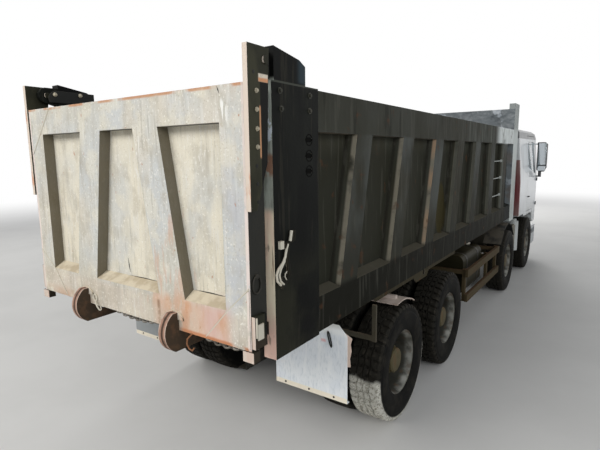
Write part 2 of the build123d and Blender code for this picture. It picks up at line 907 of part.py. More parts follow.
# Rear corner pillars: hollow covers with lamp holes, the hinge brackets on top and a lever each
cover_plate = 10
ear_radius = 60
ear_inner = 1075
ear_outer = 1119
bracket_rear = 216
bracket_inner = 1064
lever_rod = 9
lever_bends = (
    # station, height
    (370, 1955),
    (365, 1905),
    (285, 1890),
    (318, 1700),
    (255, 1645),
    (250, 1700),
)
with BuildPart() as bed_pillars:
    slab((wall_x, bed_half_width), (pillar_rear, pillar_front), (pillar_bottom, pillar_top))
    slab(
        (wall_x, bed_half_width - cover_plate),
        (pillar_rear + cover_plate, pillar_front - cover_plate),
        (pillar_bottom, pillar_top - cover_plate),
        Mode.SUBTRACT,
    )
    for height in lamp_hole_heights:
        with BuildSketch(Plane.YZ.offset(wall_x)):
            with Locations((y_at(pillar_front - 110), height)):
                Rectangle(lamp_hole_length - lamp_hole_width, lamp_hole_width)
                with Locations(
                    (-(lamp_hole_length - lamp_hole_width) / 2, 0),
                    ((lamp_hole_length - lamp_hole_width) / 2, 0),
                ):
                    RegularPolygon(lamp_hole_width / 2, 8, rotation=22.5, major_radius=False)
        extrude(amount=bed_recess, mode=Mode.SUBTRACT)
    with BuildSketch(Plane.YZ.offset(bracket_inner)):
        side_outline([
            (bracket_rear, pillar_top),
            (bracket_front, pillar_top),
            (bracket_front, bracket_top - 70),
            (bracket_front - 60, bracket_top - 40),
            (bracket_rear, bracket_top),
        ])
    extrude(amount=bed_half_width - bracket_inner)
    with BuildSketch(Plane.YZ.offset(ear_inner)):
        side_outline([
            (hinge_station, hinge_height - ear_radius),
            (bracket_rear, hinge_height - ear_radius - 20),
            (bracket_rear, hinge_height + ear_radius),
            (hinge_station, hinge_height + ear_radius),
        ])
        with Locations((y_at(hinge_station), hinge_height)):
            RegularPolygon(ear_radius, 12, rotation=15, major_radius=False)
            Circle(hinge_pin_radius + running_fit, mode=Mode.SUBTRACT)
    extrude(amount=ear_outer - ear_inner)
    # The lever: a grip, a crank and a hooked foot bent from one rod
    with BuildSketch(Plane.YZ.offset(bed_half_width)):
        with BuildLine():
            Polyline(*[(y_at(station), height) for station, height in lever_bends])
            offset(amount=lever_rod, kind=Kind.INTERSECTION)
        make_face()
    extrude(amount=2 * lever_rod)
    mirror(about=Plane.YZ)
finish("bed_pillars", bed_pillars)


# Tailgate: a framed panel with two splayed ribs, hung from arms outside its stiles
with BuildPart() as tailgate_panel:
    slab((-gate_half_width, gate_half_width), (0, gate_thickness), (gate_bottom, gate_top))
    panel_low = gate_bottom + gate_bottom_rail
    panel_high = gate_top - gate_top_rail
    panel_half = gate_half_width - gate_stile
    with BuildSketch(Plane.YZ.offset(-panel_half)):
        side_outline([
            (0, panel_low),
            (gate_recess, panel_low + gate_ledge),
            (gate_recess, panel_high),
            (0, panel_high),
        ])
    extrude(amount=2 * panel_half, mode=Mode.SUBTRACT)
    with BuildSketch(across(0)):
        half = gate_rib_width / 2
        cross_outline([
            (gate_rib_foot_x - half, panel_low),
            (gate_rib_foot_x + half, panel_low),
            (gate_rib_top_x + half, panel_high),
            (gate_rib_top_x - half, panel_high),
        ])
        mirror(about=Plane.YZ)
    extrude(amount=gate_recess)
finish("tailgate_panel", tailgate_panel)

arm_rear = -10
arm_bottom = hinge_height - 785
arm_step = hinge_height - 535
arm_top = hinge_height + 65
latch_low = gate_bottom + 16
latch_high = gate_bottom + 204
with BuildPart() as tailgate_arms:
    with BuildSketch(Plane.YZ.offset(gate_half_width)):
        side_outline([
            (arm_rear, arm_bottom),
            (arm_rear, arm_top),
            (hinge_station + 35, arm_top),
            (hinge_station + 5, arm_step),
            (40, arm_bottom),
        ])
    extrude(amount=arm_thickness)
    pin_x = (ear_inner - 8, gate_half_width + arm_thickness + 8)
    rod_across(pin_x, hinge_station, hinge_height, hinge_pin_radius)
    # The latch block and the foot below it, at the tailgate's lower corner
    slab((gate_half_width, gate_half_width + 26), (4, 106), (latch_low, latch_high))
    slab((gate_half_width - 60, gate_half_width + 20), (-8, 46), (gate_bottom - 62, gate_bottom))
    mirror(about=Plane.YZ)
finish("tailgate_arms", tailgate_arms)

hook_top = 1440
hook_bottom = 1190
hook_front = 230
with BuildPart() as tailgate_hooks:
    for side in (-1, 1):
        with BuildSketch(Plane.YZ.offset(side * hook_x - hook_thickness / 2)):
            with BuildLine():
                Polyline(
                    (y_at(-35), hook_bottom),
                    (y_at(hook_front), hook_bottom),
                    (y_at(hook_front), hook_bottom + 24),
                    (y_at(bed_rear - 15), hook_bottom + 50),
                    (y_at(0), gate_bottom),
                    (y_at(0), hook_top),
                    (y_at(-45), hook_top),
                )
                ThreePointArc(
                    (y_at(-45), hook_top),
                    (y_at(-hook_reach), (hook_top + hook_bottom) / 2 + 20),
                    (y_at(-35), hook_bottom),
                )
            make_face()
        extrude(amount=hook_thickness)
finish("tailgate_hooks", tailgate_hooks)


# Telescopic hoist: a capped barrel on trunnions and nested stages below it, the last with a foot over its pin
barrel_low = 1110
collar_step = 12
foot_half = 48
foot_cup_rise = 13
with BuildPart() as hoist_barrel:
    upright_tube((barrel_low, hoist_top), hoist_barrel_radius, hoist_barrel_radius - hoist_wall)
    upright_tube((hoist_top, hoist_top + hoist_wall), hoist_barrel_radius)
    for side in (-1, 1):
        pin_across(
            (side * (hoist_barrel_radius - hoist_wall / 2), side * (bracket_x + bracket_plate + 6)),
            hoist_station,
            hoist_trunnion_height,
            trunnion_radius,
        )
finish("hoist_barrel", hoist_barrel)

for stage in range(1, hoist_stages + 1):
    stage_radius = hoist_barrel_radius - stage * (hoist_wall + hoist_play)
    stage_heights = (barrel_low - stage * collar_step, hoist_top - stage * collar_step)
    with BuildPart() as hoist_stage:
        if stage < hoist_stages:
            upright_tube(stage_heights, stage_radius, stage_radius - hoist_wall)
        else:
            upright_tube(stage_heights, stage_radius)
            slab(
                (-foot_half, foot_half),
                (hoist_station - foot_half, hoist_station + foot_half),
                (hoist_foot_height + foot_cup_rise, stage_heights[0]),
            )
            rod_across(
                (-foot_half - 1, foot_half + 1),
                hoist_station,
                hoist_foot_height,
                hoist_pin_radius + running_fit,
                Mode.SUBTRACT,
            )
    finish(f"hoist_stage_{stage}", hoist_stage)


# Cab: one form cut from the side, from the front and from above
cab_screen_foot = 1850
cab_lower_edge = 900
arch_top = 1140
arch_front = door_front - 270
arch_rear = door_rear - 380


def cab_form(inset):
    """The cab's outer form, or the same form drawn in by an inset all round."""
    with BuildPart() as form:
        with BuildSketch(Plane.YZ.offset(-cab_half_width)):
            side_outline([
                (cab_rear, arch_top + 60),
                (cab_rear, cab_roof - 60),
                (cab_rear + 90, cab_roof),
                (cab_front - 460, cab_roof),
                (cab_front - 200, cab_roof - 130),
                (cab_front - 20, cab_screen_foot),
                (cab_front, cab_screen_foot - 350),
                (cab_front, cab_lower_edge),
                (arch_front, cab_lower_edge),
                (arch_front - 70, arch_top - 80),
                (arch_front - 210, arch_top),
                (arch_rear + 140, arch_top),
                (arch_rear, arch_top + 60),
            ])
            if inset:
                offset(amount=-inset, kind=Kind.INTERSECTION)
        extrude(amount=2 * cab_half_width)
        with BuildSketch(Plane.XZ.offset(-y_at(cab_rear) - 100)):
            cross_outline([
                (-cab_half_width, cab_lower_edge - 50),
                (cab_half_width, cab_lower_edge - 50),
                (cab_half_width, cab_screen_foot),
                (cab_half_width - 70, cab_roof - 50),
                (cab_half_width - 130, cab_roof),
                (-cab_half_width + 130, cab_roof),
                (-cab_half_width + 70, cab_roof - 50),
                (-cab_half_width, cab_screen_foot),
            ])
            if inset:
                offset(amount=-inset, kind=Kind.INTERSECTION)
        extrude(amount=cab_front - cab_rear + 200, mode=Mode.INTERSECT)
        with BuildSketch(Plane.XY.offset(cab_lower_edge - 50)):
            with BuildLine():
                Polyline(
                    (cab_half_width, y_at(cab_rear)),
                    (cab_half_width, y_at(cab_front - 180)),
                    (cab_half_width - 180, y_at(cab_front)),
                    (180 - cab_half_width, y_at(cab_front)),
                    (-cab_half_width, y_at(cab_front - 180)),
                    (-cab_half_width, y_at(cab_rear)),
                    close=True,
                )
            make_face()
            if inset:
                offset(amount=-inset, kind=Kind.INTERSECTION)
        extrude(amount=cab_roof - cab_lower_edge + 100, mode=Mode.INTERSECT)
        # The engine tunnel runs under the floor
        slab(
            (-cab_tunnel_half - inset, cab_tunnel_half + inset),
            (cab_rear - 10, rail_front + 2 * free_gap + inset),
            (cab_lower_edge - 10, cab_tunnel_top + inset),
            Mode.SUBTRACT,
        )
    return form.part


def door_knuckles(side, end):
    """One half of both door hinges: end is 1 for the cab's half and -1 for the door's, stacked on it."""
    axis_x = side * door_hinge_x
    leaf = sorted((side * (cab_half_width - 15), axis_x))
    for height in door_hinge_heights:
        low = height if end > 0 else height + door_knuckle + running_fit
        with BuildSketch(Plane.XY.offset(low)) as section:
            with Locations((axis_x, y_at(door_hinge_station))):
                Circle(door_knuckle_radius)
        extrude(section.sketch, amount=door_knuckle)
        slab(leaf, (door_hinge_station, door_hinge_station + end * 36), (low, low + door_knuckle))


def side_prism(points, side, grow=0):
    """A prism through one side of the cab, for a door or a window."""
    with BuildPart() as prism:
        inner = 900 if side > 0 else -900 - 400
        with BuildSketch(Plane.YZ.offset(inner)):
            side_outline(points)
            if grow:
                offset(amount=grow, kind=Kind.INTERSECTION)
        extrude(amount=400)
    return prism.part


door_top = cab_roof - 110
window_top = cab_roof - 220
window_low = 2100
door_outline = [
    (door_rear, arch_top + 70),
    (arch_front - 150, arch_top + 70),
    (arch_front + 90, cab_lower_edge + 80),
    (door_front, cab_lower_edge + 80),
    (door_front, cab_screen_foot + 60),
    (door_front - 170, door_top - 30),
    (door_front - 200, door_top),
    (door_rear, door_top),
]
window_outline = [
    (door_rear + 90, window_low),
    (door_front - 80, cab_screen_foot + 80),
    (door_front - 250, window_top),
    (door_rear + 90, window_top),
]
glass_inset = 18
glass_thickness = 6
screen_half = 1000
visor_half = 980
screen_low = cab_screen_foot + 50
screen_high = cab_roof - 190
cab_outer = cab_form(0)
cab_inner = cab_form(cab_wall)
cab_skin = cab_outer - cab_inner
glass_skin = cab_form(glass_inset) - cab_form(glass_inset + glass_thickness)
with BuildPart() as screen_prism:
    slab((-screen_half, screen_half), (cab_front - 310, cab_front + 100), (screen_low, screen_high))
with BuildPart() as cab_shell:
    add(cab_skin)
    for side in (-1, 1):
        add(side_prism(door_outline, side, door_gap), mode=Mode.SUBTRACT)
    add(screen_prism.part, mode=Mode.SUBTRACT)
    with BuildSketch(Plane.YZ.offset(-visor_half)):
        side_outline([
            (cab_front - 400, cab_roof - 50),
            (cab_front - 90, cab_roof - 190),
            (cab_front - 70, cab_roof - 160),
            (cab_front - 300, cab_roof - 40),
        ])
    extrude(amount=2 * visor_half)
    for side in (-1, 1):
        door_knuckles(side, 1)
        with BuildSketch(Plane.YZ.offset(side * lug_x - lug_half)):
            with Locations((y_at(cab_hinge_station), cab_hinge_height)):
                RegularPolygon(lug_radius, 8, major_radius=False)
            side_outline([
                (cab_hinge_station - lug_radius, cab_hinge_height),
                (cab_hinge_station + lug_radius, cab_hinge_height),
                (cab_hinge_station + lug_radius, cab_lower_edge + 10),
                (cab_hinge_station - lug_radius, cab_lower_edge + 10),
            ])
        extrude(amount=2 * lug_half)
        pin_half = lug_half + lug_cheek + 6
        pin_across(
            (side * lug_x - pin_half, side * lug_x + pin_half),
            cab_hinge_station,
            cab_hinge_height,
            cab_pin_radius,
        )
finish("cab_shell", cab_shell)

with BuildPart() as cab_windscreen:
    add(glass_skin)
    add(screen_prism.part, mode=Mode.INTERSECT)
finish("cab_windscreen", cab_windscreen)

mirror_front = door_front - 110
mirror_rear = door_front - 210
mirror_inner = cab_half_width + 20
mirror_outer = cab_half_width + 210
mirror_low = 1985
mirror_high = window_top
mirror_corner = 45
for side, word in ((1, "left"), (-1, "right")):
    with BuildPart() as door:
        add(cab_skin)
        add(side_prism(door_outline, side), mode=Mode.INTERSECT)
        add(side_prism(window_outline, side), mode=Mode.SUBTRACT)
        door_knuckles(side, -1)
        # Mirror: a head on two short arms from the door's front corner
        upper_arm = (mirror_high - 50, mirror_high - 25)
        slab((side * 1140, side * 1300), (mirror_rear, mirror_rear + 30), upper_arm)
        lower_arm = (mirror_front - 50, mirror_front)
        slab((side * 1190, side * 1330), lower_arm, (mirror_low - 115, mirror_low - 85))
        slab((side * 1270, side * 1330), lower_arm, (mirror_low - 85, mirror_low + 5))
        near, far = side * mirror_inner, side * mirror_outer
        with BuildSketch(across(mirror_rear)):
            cross_outline([
                (near + side * mirror_corner, mirror_low),
                (far - side * mirror_corner, mirror_low),
                (far, mirror_low + 2 * mirror_corner),
                (far, mirror_high - mirror_corner),
                (far - side * mirror_corner, mirror_high),
                (near, mirror_high),
                (near, mirror_low + mirror_corner),
            ])
        extrude(amount=mirror_front - mirror_rear)
    finish(f"door_{word}", door)
    with BuildPart() as door_glass:
        add(glass_skin)
        add(side_prism(window_outline, side), mode=Mode.INTERSECT)
    finish(f"door_glass_{word}", door_glass)

grille_half = 700
grille_low = 1010
grille_high = 1480
slat_count = 5
with BuildPart() as cab_grille:
    slab((-grille_half, grille_half), (cab_front, cab_front + 10), (grille_low, grille_high))
    slat_pitch = (grille_high - grille_low) / slat_count
    for number in range(slat_count):
        low = grille_low + (number + 0.25) * slat_pitch
        slab((-grille_half, grille_half), (cab_front, cab_front + 34), (low, low + slat_pitch / 2))
finish("cab_grille", cab_grille)


# Cab interior: two seats, the dashboard and the steering wheel
seat_middle = 840
seat_half = 240
seat_foot = door_rear - 180
dash_half = 1010
dash_low = 1520
dash_high = 1850
steering_wheel_height = 1840
steering_wheel_radius = 225
cab_floor_top = arch_top + cab_wall
with BuildPart() as cab_interior:
    for side in (-1, 1):
        with BuildSketch(Plane.YZ.offset(side * seat_middle - seat_half)):
            side_outline([
                (seat_foot, cab_floor_top),
                (seat_foot + 360, cab_floor_top),
                (seat_foot + 440, cab_floor_top + 455),
                (seat_foot + 420, cab_floor_top + 515),
                (seat_foot - 10, cab_floor_top + 505),
                (seat_foot - 110, cab_floor_top + 1145),
                (seat_foot - 230, cab_floor_top + 1145),
                (seat_foot - 140, cab_floor_top + 375),
            ])
        extrude(amount=2 * seat_half)
    with BuildSketch(Plane.YZ.offset(-dash_half)):
        side_outline([
            (cab_front - 310, dash_low),
            (cab_front - 47, dash_low),
            (cab_front - 63, dash_high - 50),
            (cab_front - 260, dash_high),
            (cab_front - 360, dash_high - 90),
        ])
    extrude(amount=2 * dash_half)
    wheel_middle = (seat_middle, y_at(cab_front - 530), steering_wheel_height)
    column = Plane(origin=wheel_middle, x_dir=(1, 0, 0), z_dir=(0, 0.8, 0.6))
    with BuildSketch(column):
        RegularPolygon(steering_wheel_radius, 16)
        RegularPolygon(steering_wheel_radius - 25, 16, mode=Mode.SUBTRACT)
        Rectangle(2 * steering_wheel_radius - 46, 26)
        RegularPolygon(50, 8)
    extrude(amount=24)
    with BuildSketch(column):
        RegularPolygon(32, 8)
    extrude(amount=-330)
finish("cab_interior", cab_interior)


# Knuckles: a fork over each axle boss, a kingpin and a spindle
spindle_out = 1130
for axle, station in enumerate(steered_stations, start=1):
    for side, word in ((1, "left"), (-1, "right")):
        with BuildPart() as knuckle:
            boss_low = tyre_radius - axle_boss_height / 2 - running_fit
            boss_high = tyre_radius + axle_boss_height / 2 + running_fit
            for low in (boss_low - knuckle_ear, boss_high):
                with BuildSketch(Plane.XY.offset(low)):
                    with Locations((side * kingpin_x, y_at(station))):
                        RegularPolygon(axle_boss_radius + 4, 8, major_radius=False)
                    with Locations((side * (kingpin_x + 45), y_at(station))):
                        Rectangle(90, 2 * (axle_boss_radius + 4))
                extrude(amount=knuckle_ear)
            slab(
                (side * (kingpin_x + axle_boss_radius + 10), side * (kingpin_x + 90)),
                (station - axle_boss_radius - 4, station + axle_boss_radius + 4),
                (boss_low - knuckle_ear, boss_high + knuckle_ear),
            )
            with BuildSketch(Plane.XY.offset(boss_low - knuckle_ear)):
                with Locations((side * kingpin_x, y_at(station))):
                    RegularPolygon(kingpin_radius, pin_sides)
            extrude(amount=boss_high - boss_low + 2 * knuckle_ear)
            pin_across((side * (kingpin_x + 80), side * spindle_out), station, tyre_radius, spindle_radius)
        finish(f"knuckle_{axle}_{word}", knuckle)


# Wheels: each tyre is faceted into its tread blocks, with one flat down where it stands
def tyre(centre_x, station):
    """One tyre with sloping shoulders and an open bore for its rim."""
    half = tyre_width / 2
    tread_half = half - tyre_shoulder
    polygon_disc((centre_x - tread_half, centre_x + tread_half), station, tyre_radius)
    for face in (-1, 1):
        edge = centre_x + face * tread_half
        polygon_disc((edge, centre_x + face * half), station, tyre_radius, taper=shoulder_taper)
    polygon_disc((centre_x - half, centre_x + half), station, rim_radius, Mode.SUBTRACT)


def wheel_rim(side, station, barrel, disc, hub, drum, bore_depth):
    """A rim barrel, its disc, hub and brake drum, bored for the spindle; spans are inner and outer X."""
    polygon_disc([side * x for x in barrel], station, rim_radius)
    polygon_disc([side * x for x in barrel], station, rim_radius - rim_wall, Mode.SUBTRACT)
    polygon_disc([side * x for x in disc], station, rim_radius)
    polygon_disc([side * x for x in hub], station, hub_radius, sides=12)
    polygon_disc([side * x for x in drum], station, drum_radius, sides=12)
    bore = (side * (min(drum[0], hub[0]) - 1), side * bore_depth)
    rod_across(bore, station, tyre_radius, spindle_radius + running_fit, Mode.SUBTRACT)


shoulder_taper = 40
drum_radius = 205
rim_lip = 25
front_hub_start = 985
drum_width = 90
front_disc_x = 1150
rear_disc_x = 1030
outer_tyre_x = wheel_outer_face - tyre_width / 2
wheel_sets = (
    # name, station, twin tyres
    ("axle_1", steered_stations[0], False),
    ("axle_2", steered_stations[1], False),
    ("axle_3", driven_stations[0], True),
    ("axle_4", driven_stations[1], True),
)
for axle, station, twin in wheel_sets:
    for side, word in ((1, "left"), (-1, "right")):
        centres = [outer_tyre_x, outer_tyre_x - twin_spacing] if twin else [outer_tyre_x]
        with BuildPart() as tyres:
            for centre_x in centres:
                tyre(side * centre_x, station)
        finish(f"tyres_{axle}_{word}", tyres)
        barrel_start = centres[-1] - tyre_width / 2 + rim_lip
        barrel = (barrel_start, wheel_outer_face - rim_lip)
        with BuildPart() as rim:
            if twin:
                disc = (rear_disc_x, rear_disc_x + disc_plate)
                hub = (housing_end + 30, rear_disc_x + hub_cap_length + 30)
                drum = (housing_end + 30, housing_end + 30 + 2 * drum_width)
                wheel_rim(side, station, barrel, disc, hub, drum, spindle_end + 4)
            else:
                disc = (front_disc_x, front_disc_x + disc_plate)
                hub = (front_hub_start, front_disc_x + hub_cap_length)
                drum = (front_hub_start, front_hub_start + drum_width)
                wheel_rim(side, station, barrel, disc, hub, drum, spindle_out + 4)
        finish(f"rims_{axle}_{word}", rim)


os.makedirs("parts", exist_ok=True)
for name, piece in pieces.items():
    export_step(piece, f"parts/{name}.step")
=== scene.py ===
import bpy
import bmesh
import math
from mathutils import Matrix, Vector


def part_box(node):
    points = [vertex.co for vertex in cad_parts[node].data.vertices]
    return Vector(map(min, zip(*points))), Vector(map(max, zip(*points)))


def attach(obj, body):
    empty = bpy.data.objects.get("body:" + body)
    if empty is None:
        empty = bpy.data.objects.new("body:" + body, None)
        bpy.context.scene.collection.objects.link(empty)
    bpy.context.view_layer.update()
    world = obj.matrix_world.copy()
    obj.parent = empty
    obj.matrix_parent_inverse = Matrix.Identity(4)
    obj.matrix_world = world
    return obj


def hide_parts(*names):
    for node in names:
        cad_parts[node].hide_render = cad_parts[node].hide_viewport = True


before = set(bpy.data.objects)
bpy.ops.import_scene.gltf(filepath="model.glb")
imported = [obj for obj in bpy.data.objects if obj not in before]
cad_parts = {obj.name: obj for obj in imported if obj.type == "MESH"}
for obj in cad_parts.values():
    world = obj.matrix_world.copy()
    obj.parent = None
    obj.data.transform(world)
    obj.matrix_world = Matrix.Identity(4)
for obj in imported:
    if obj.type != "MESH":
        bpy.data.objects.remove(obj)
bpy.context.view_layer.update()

# A station is measured forward from the tailgate's rear face, as in the part's source
ORIGIN_STATION = 4.92
# The tailgate's hooks stand this far from the middle plane
HOOK_X = 0.495

CAMERA_PLACE = (-2.7224, 6.7272, 2.403)
CAMERA_ANGLES = (34.895, 8.739, -0.678)
CAMERA_LENS = 27.38
LAMPS = (
    # name, place, target, width and depth, power, colour
    ("key", (2.5, 15.0, 8.5), (0, 3, 1.2), (6, 5), 1050, (1.0, 0.98, 0.95)),
    ("fill", (-11, 9.0, 6.0), (0, 2, 1.5), (9, 5), 600, (0.95, 0.97, 1.0)),
    ("left", (12, 2.0, 6.5), (0, 0, 1.5), (9, 5), 300, (1, 1, 1)),
    ("front", (3, -15, 7), (0, -3, 1.5), (6, 5), 700, (1, 1, 1)),
)


def at(x, station, z):
    """A point from its X, its station and its height, in metres."""
    return Vector((x, ORIGIN_STATION - station, z))


def rgb(red, green, blue):
    """A colour written in screen values, as the linear colour that a shader takes."""
    linear = []
    for value in (red, green, blue):
        share = value / 255
        linear.append(share / 12.92 if share <= 0.04045 else ((share + 0.055) / 1.055) ** 2.4)
    return (*linear, 1.0)


def add_object(name, data):
    obj = bpy.data.objects.new(name, data)
    bpy.context.scene.collection.objects.link(obj)
    return obj


def make_camera():
    """The camera stands behind the right rear corner and looks forward along the lorry."""
    yaw, pitch, roll = (math.radians(angle) for angle in CAMERA_ANGLES)
    ahead = Vector((math.sin(yaw) * math.cos(pitch), -math.cos(yaw) * math.cos(pitch), -math.sin(pitch)))
    right = ahead.cross(Vector((0, 0, 1))).normalized()
    up = right.cross(ahead)
    right_rolled = right * math.cos(roll) + up * math.sin(roll)
    up_rolled = up * math.cos(roll) - right * math.sin(roll)
    data = bpy.data.cameras.new("camera")
    data.lens = CAMERA_LENS
    data.sensor_width = 36
    data.clip_end = 200
    camera = add_object("camera", data)
    turn = Matrix((right_rolled, up_rolled, -ahead)).transposed()
    camera.matrix_world = Matrix.Translation(CAMERA_PLACE) @ turn.to_4x4()
    bpy.context.scene.camera = camera


def make_lamp(name, place, target, size, power, colour):
    data = bpy.data.lights.new(name, "AREA")
    data.shape = "RECTANGLE"
    data.size, data.size_y = size
    data.energy = power
    data.color = colour
    lamp = add_object(name, data)
    lamp.location = place
    lamp.rotation_euler = (Vector(target) - Vector(place)).to_track_quat("-Z", "Y").to_euler()


class Finish:
    """A material built up in layers over a piece's own rest position, in metres."""

    def __init__(self, name, colour, roughness, metallic=0.0, specular=0.5):
        self.material = bpy.data.materials.new(name)
        self.material.use_nodes = True
        self.tree = self.material.node_tree
        self.shader = self.tree.nodes["Principled BSDF"]
        self.colour = rgb(*colour)
        self.set({"Base Color": self.colour, "Roughness": roughness, "Metallic": metallic,
                  "Specular IOR Level": specular})
        self.roughness = roughness
        self.normal = None
        self.outputs = {}
        rest = self.node("TexCoord")
        self.place = rest.outputs["Object"]
        self.places = list(self.node("SeparateXYZ", {0: self.place}).outputs)
        self.facings = list(self.node("SeparateXYZ", {0: rest.outputs["Normal"]}).outputs)

    def set(self, values):
        """Writes constant values on the shader's own sockets."""
        for socket, value in values.items():
            self.shader.inputs[socket].default_value = value

    def node(self, kind, inputs=None, **settings):
        """A shader node with its inputs and settings."""
        node = self.tree.nodes.new("ShaderNode" + kind)
        for setting, value in settings.items():
            setattr(node, setting, value)
        for socket, value in (inputs or {}).items():
            self.put(value, node.inputs[socket])
        return node

    def put(self, value, socket):
        """Links a mask or an output, or writes a plain number or colour."""
        value = self.made(value)
        if isinstance(value, bpy.types.NodeSocket):
            self.tree.links.new(value, socket)
        else:
            socket.default_value = value

    def made(self, value):
        """A mask's output in this material, made once; anything else stays as it is."""
        if not callable(value):
            return value
        if value not in self.outputs:
            self.outputs[value] = value(self)
        return self.outputs[value]

    def layer(self, colour, amount, *masks, roughness=None):
        """Lays a colour over what is there, by an amount and any masks."""
        share = self.made(times(amount, *masks)) if masks else amount
        mix = self.node("Mix", {0: share, 6: self.colour, 7: rgb(*colour)}, data_type="RGBA")
        self.colour = mix.outputs[2]
        if roughness is not None:
            self.roughness = self.node("Mix", {0: share, 2: self.roughness, 3: roughness}).outputs[0]

    def bump(self, height, strength, distance=0.01):
        node = self.node("Bump", {"Strength": strength, "Distance": distance, "Height": height})
        if self.normal is not None:
            self.put(self.normal, node.inputs["Normal"])
        self.normal = node.outputs[0]

    def soft_edges(self, radius):
        self.normal = self.node("Bevel", {"Radius": radius}, samples=4).outputs[0]

    def done(self):
        self.put(self.colour, self.shader.inputs["Base Color"])
        self.put(self.roughness, self.shader.inputs["Roughness"])
        if self.normal is not None:
            self.put(self.normal, self.shader.inputs["Normal"])
        return self.material


# Masks: each is a function that makes its nodes in the finish that uses it
def place(axis):
    """The place along X, Y or Z of the piece's rest position."""
    return lambda skin: skin.places["xyz".index(axis)]


def facing_of(axis):
    """How far the surface faces along an axis, from -1 to 1."""
    return lambda skin: skin.facings["xyz".index(axis)]


def reckon(operation, first, second=0.0):
    """The result of one of Blender's math operations on masks or numbers."""
    return lambda skin: skin.node("Math", {0: first, 1: second}, operation=operation).outputs[0]


def times(first, *others):
    for other in others:
        first = reckon("MULTIPLY", first, other)
    return first


def length_of(first, second):
    return reckon("SQRT", reckon("ADD", times(first, first), times(second, second)))


def span(value, low, high):
    """0 at low and 1 at high, with soft ends."""
    ends = {"From Min": min(low, high), "From Max": max(low, high),
            "To Min": float(low > high), "To Max": float(low <= high)}

    def make(skin):
        inputs = {"Value": value, **ends}
        return skin.node("MapRange", inputs, interpolation_type="SMOOTHSTEP").outputs[0]
    return make


def noise(scale, shift=0.0, x=1, y=1, z=1, detail=4.0):
    """Noise that x, y and z under 1 draw out along their axes."""
    def make(skin):
        moved = {"Vector": skin.place, "Scale": (x, y, z), "Location": (shift, shift * 0.7, shift * 1.3)}
        vector = skin.node("Mapping", moved).outputs[0]
        inputs = {"Vector": vector, "Scale": scale, "Detail": detail, "Roughness": 0.55}
        return skin.node("TexNoise", inputs).outputs["Fac"]
    return make


def patches(scale, low, high, shift=0.0, **drawn):
    return span(noise(scale, shift, **drawn), low, high)


def along(axis, low, high):
    return span(place(axis), low, high)


def within(axis, start, end):
    """1 between two soft borders along an axis."""
    return times(along(axis, *start), along(axis, *end))


def window(x, z, soft):
    """1 inside a stretch of X and of Z, with soft borders."""
    return times(along("x", x[0] - soft, x[0] + soft), along("x", x[1] + soft, x[1] - soft),
                 along("z", z[0] - soft, z[0] + soft), along("z", z[1] + soft, z[1] - soft))


def facing(axis, low, high):
    return span(facing_of(axis), low, high)


def outward(low, high):
    """0 to 1 by how far the surface faces away from the lorry's middle plane."""
    return span(times(facing_of("x"), reckon("SIGN", place("x"))), low, high)


def outer(low, high):
    """0 to 1 by how far a place lies from the lorry's middle plane."""
    return span(reckon("ABSOLUTE", place("x")), low, high)


FROM_AXLE = length_of(place("y"), place("z"))


def dust_and_glint_layers(skin, dust_and_glint, amount=0.6, grain=40, depth=0.3):
    """Dust lying on what faces up, light mottling all over and a fine uneven skin; on the chain the colour on
    top is a painted highlight instead of dust.
    """
    skin.layer(dust_and_glint, amount, facing("z", 0.3, 0.9), patches(6, 0.3, 0.6, 3.1))
    skin.layer(dust_and_glint, amount * 0.3, patches(2.3, 0.45, 0.7, 7.7), roughness=0.9)
    skin.bump(noise(grain, detail=3), depth, 0.004)
    return skin.done()


def plain_finish(name, colour, roughness, metallic=0.0, dust_and_glint=(120, 112, 98), amount=0.5, depth=0.25,
                 specular=0.3):
    return dust_and_glint_layers(Finish(name, colour, roughness, metallic, specular), dust_and_glint, amount, depth=depth)


def gate_rust(skin, rear):
    """Orange rust on the tailgate's bottom rail, top edge and right stile."""
    rust_grain = patches(12, 0.38, 0.62, 8.1, z=0.3, detail=6)
    streaks = window((-0.95, -0.30), (1.30, 1.53), 0.05)
    skin.layer((210, 180, 158), 0.7, rear, streaks, patches(5, 0.3, 0.55, 7.1, z=0.5))
    skin.layer((196, 142, 108), 0.6, rear, streaks, rust_grain, along("x", -0.30, -0.45), roughness=0.85)
    rib_foot = window((-0.62, -0.18), (1.45, 2.05), 0.05)
    skin.layer((198, 158, 132), 0.5, rear, rib_foot, patches(15, 0.52, 0.62, 3.5, z=0.2))
    purple = window((-0.97, -0.76), (1.34, 1.56), 0.06)
    skin.layer((206, 176, 172), 0.6, rear, purple, patches(5, 0.35, 0.6, 2.7))
    stain = window((-0.352, -0.326), (1.33, 1.49), 0.012)
    skin.layer((132, 102, 76), 0.75, rear, stain, patches(20, 0.3, 0.55, 1.7))
    hook_rust = window((-0.62, -0.42), (1.44, 1.54), 0.04)
    skin.layer((204, 148, 106), 0.7, rear, hook_rust, patches(13, 0.36, 0.6, 6.1, z=0.4))
    foot_edge = times(along("z", 1.352, 1.335), along("x", -0.5, -0.6))
    skin.layer((190, 122, 78), 0.85, foot_edge, patches(9, 0.32, 0.5, 3.7), roughness=0.85)
    far_foot = times(along("z", 1.42, 1.34), along("x", 0.3, 0.5))
    skin.layer((186, 150, 122), 0.6, rear, far_foot, patches(6, 0.42, 0.6, 6.9))
    top_edge = along("z", 2.752, 2.764)
    skin.layer((186, 128, 84), 0.8, top_edge, patches(5, 0.4, 0.55, 1.9), roughness=0.85)
    stile = times(along("x", -1.02, -1.08), along("z", 2.35, 2.7))
    skin.layer((192, 140, 102), 0.6, stile, patches(7, 0.45, 0.62, 5.6, z=0.3))
    skin.layer((172, 116, 80), 0.7, patches(26, 0.68, 0.71, 4.4, z=0.5))


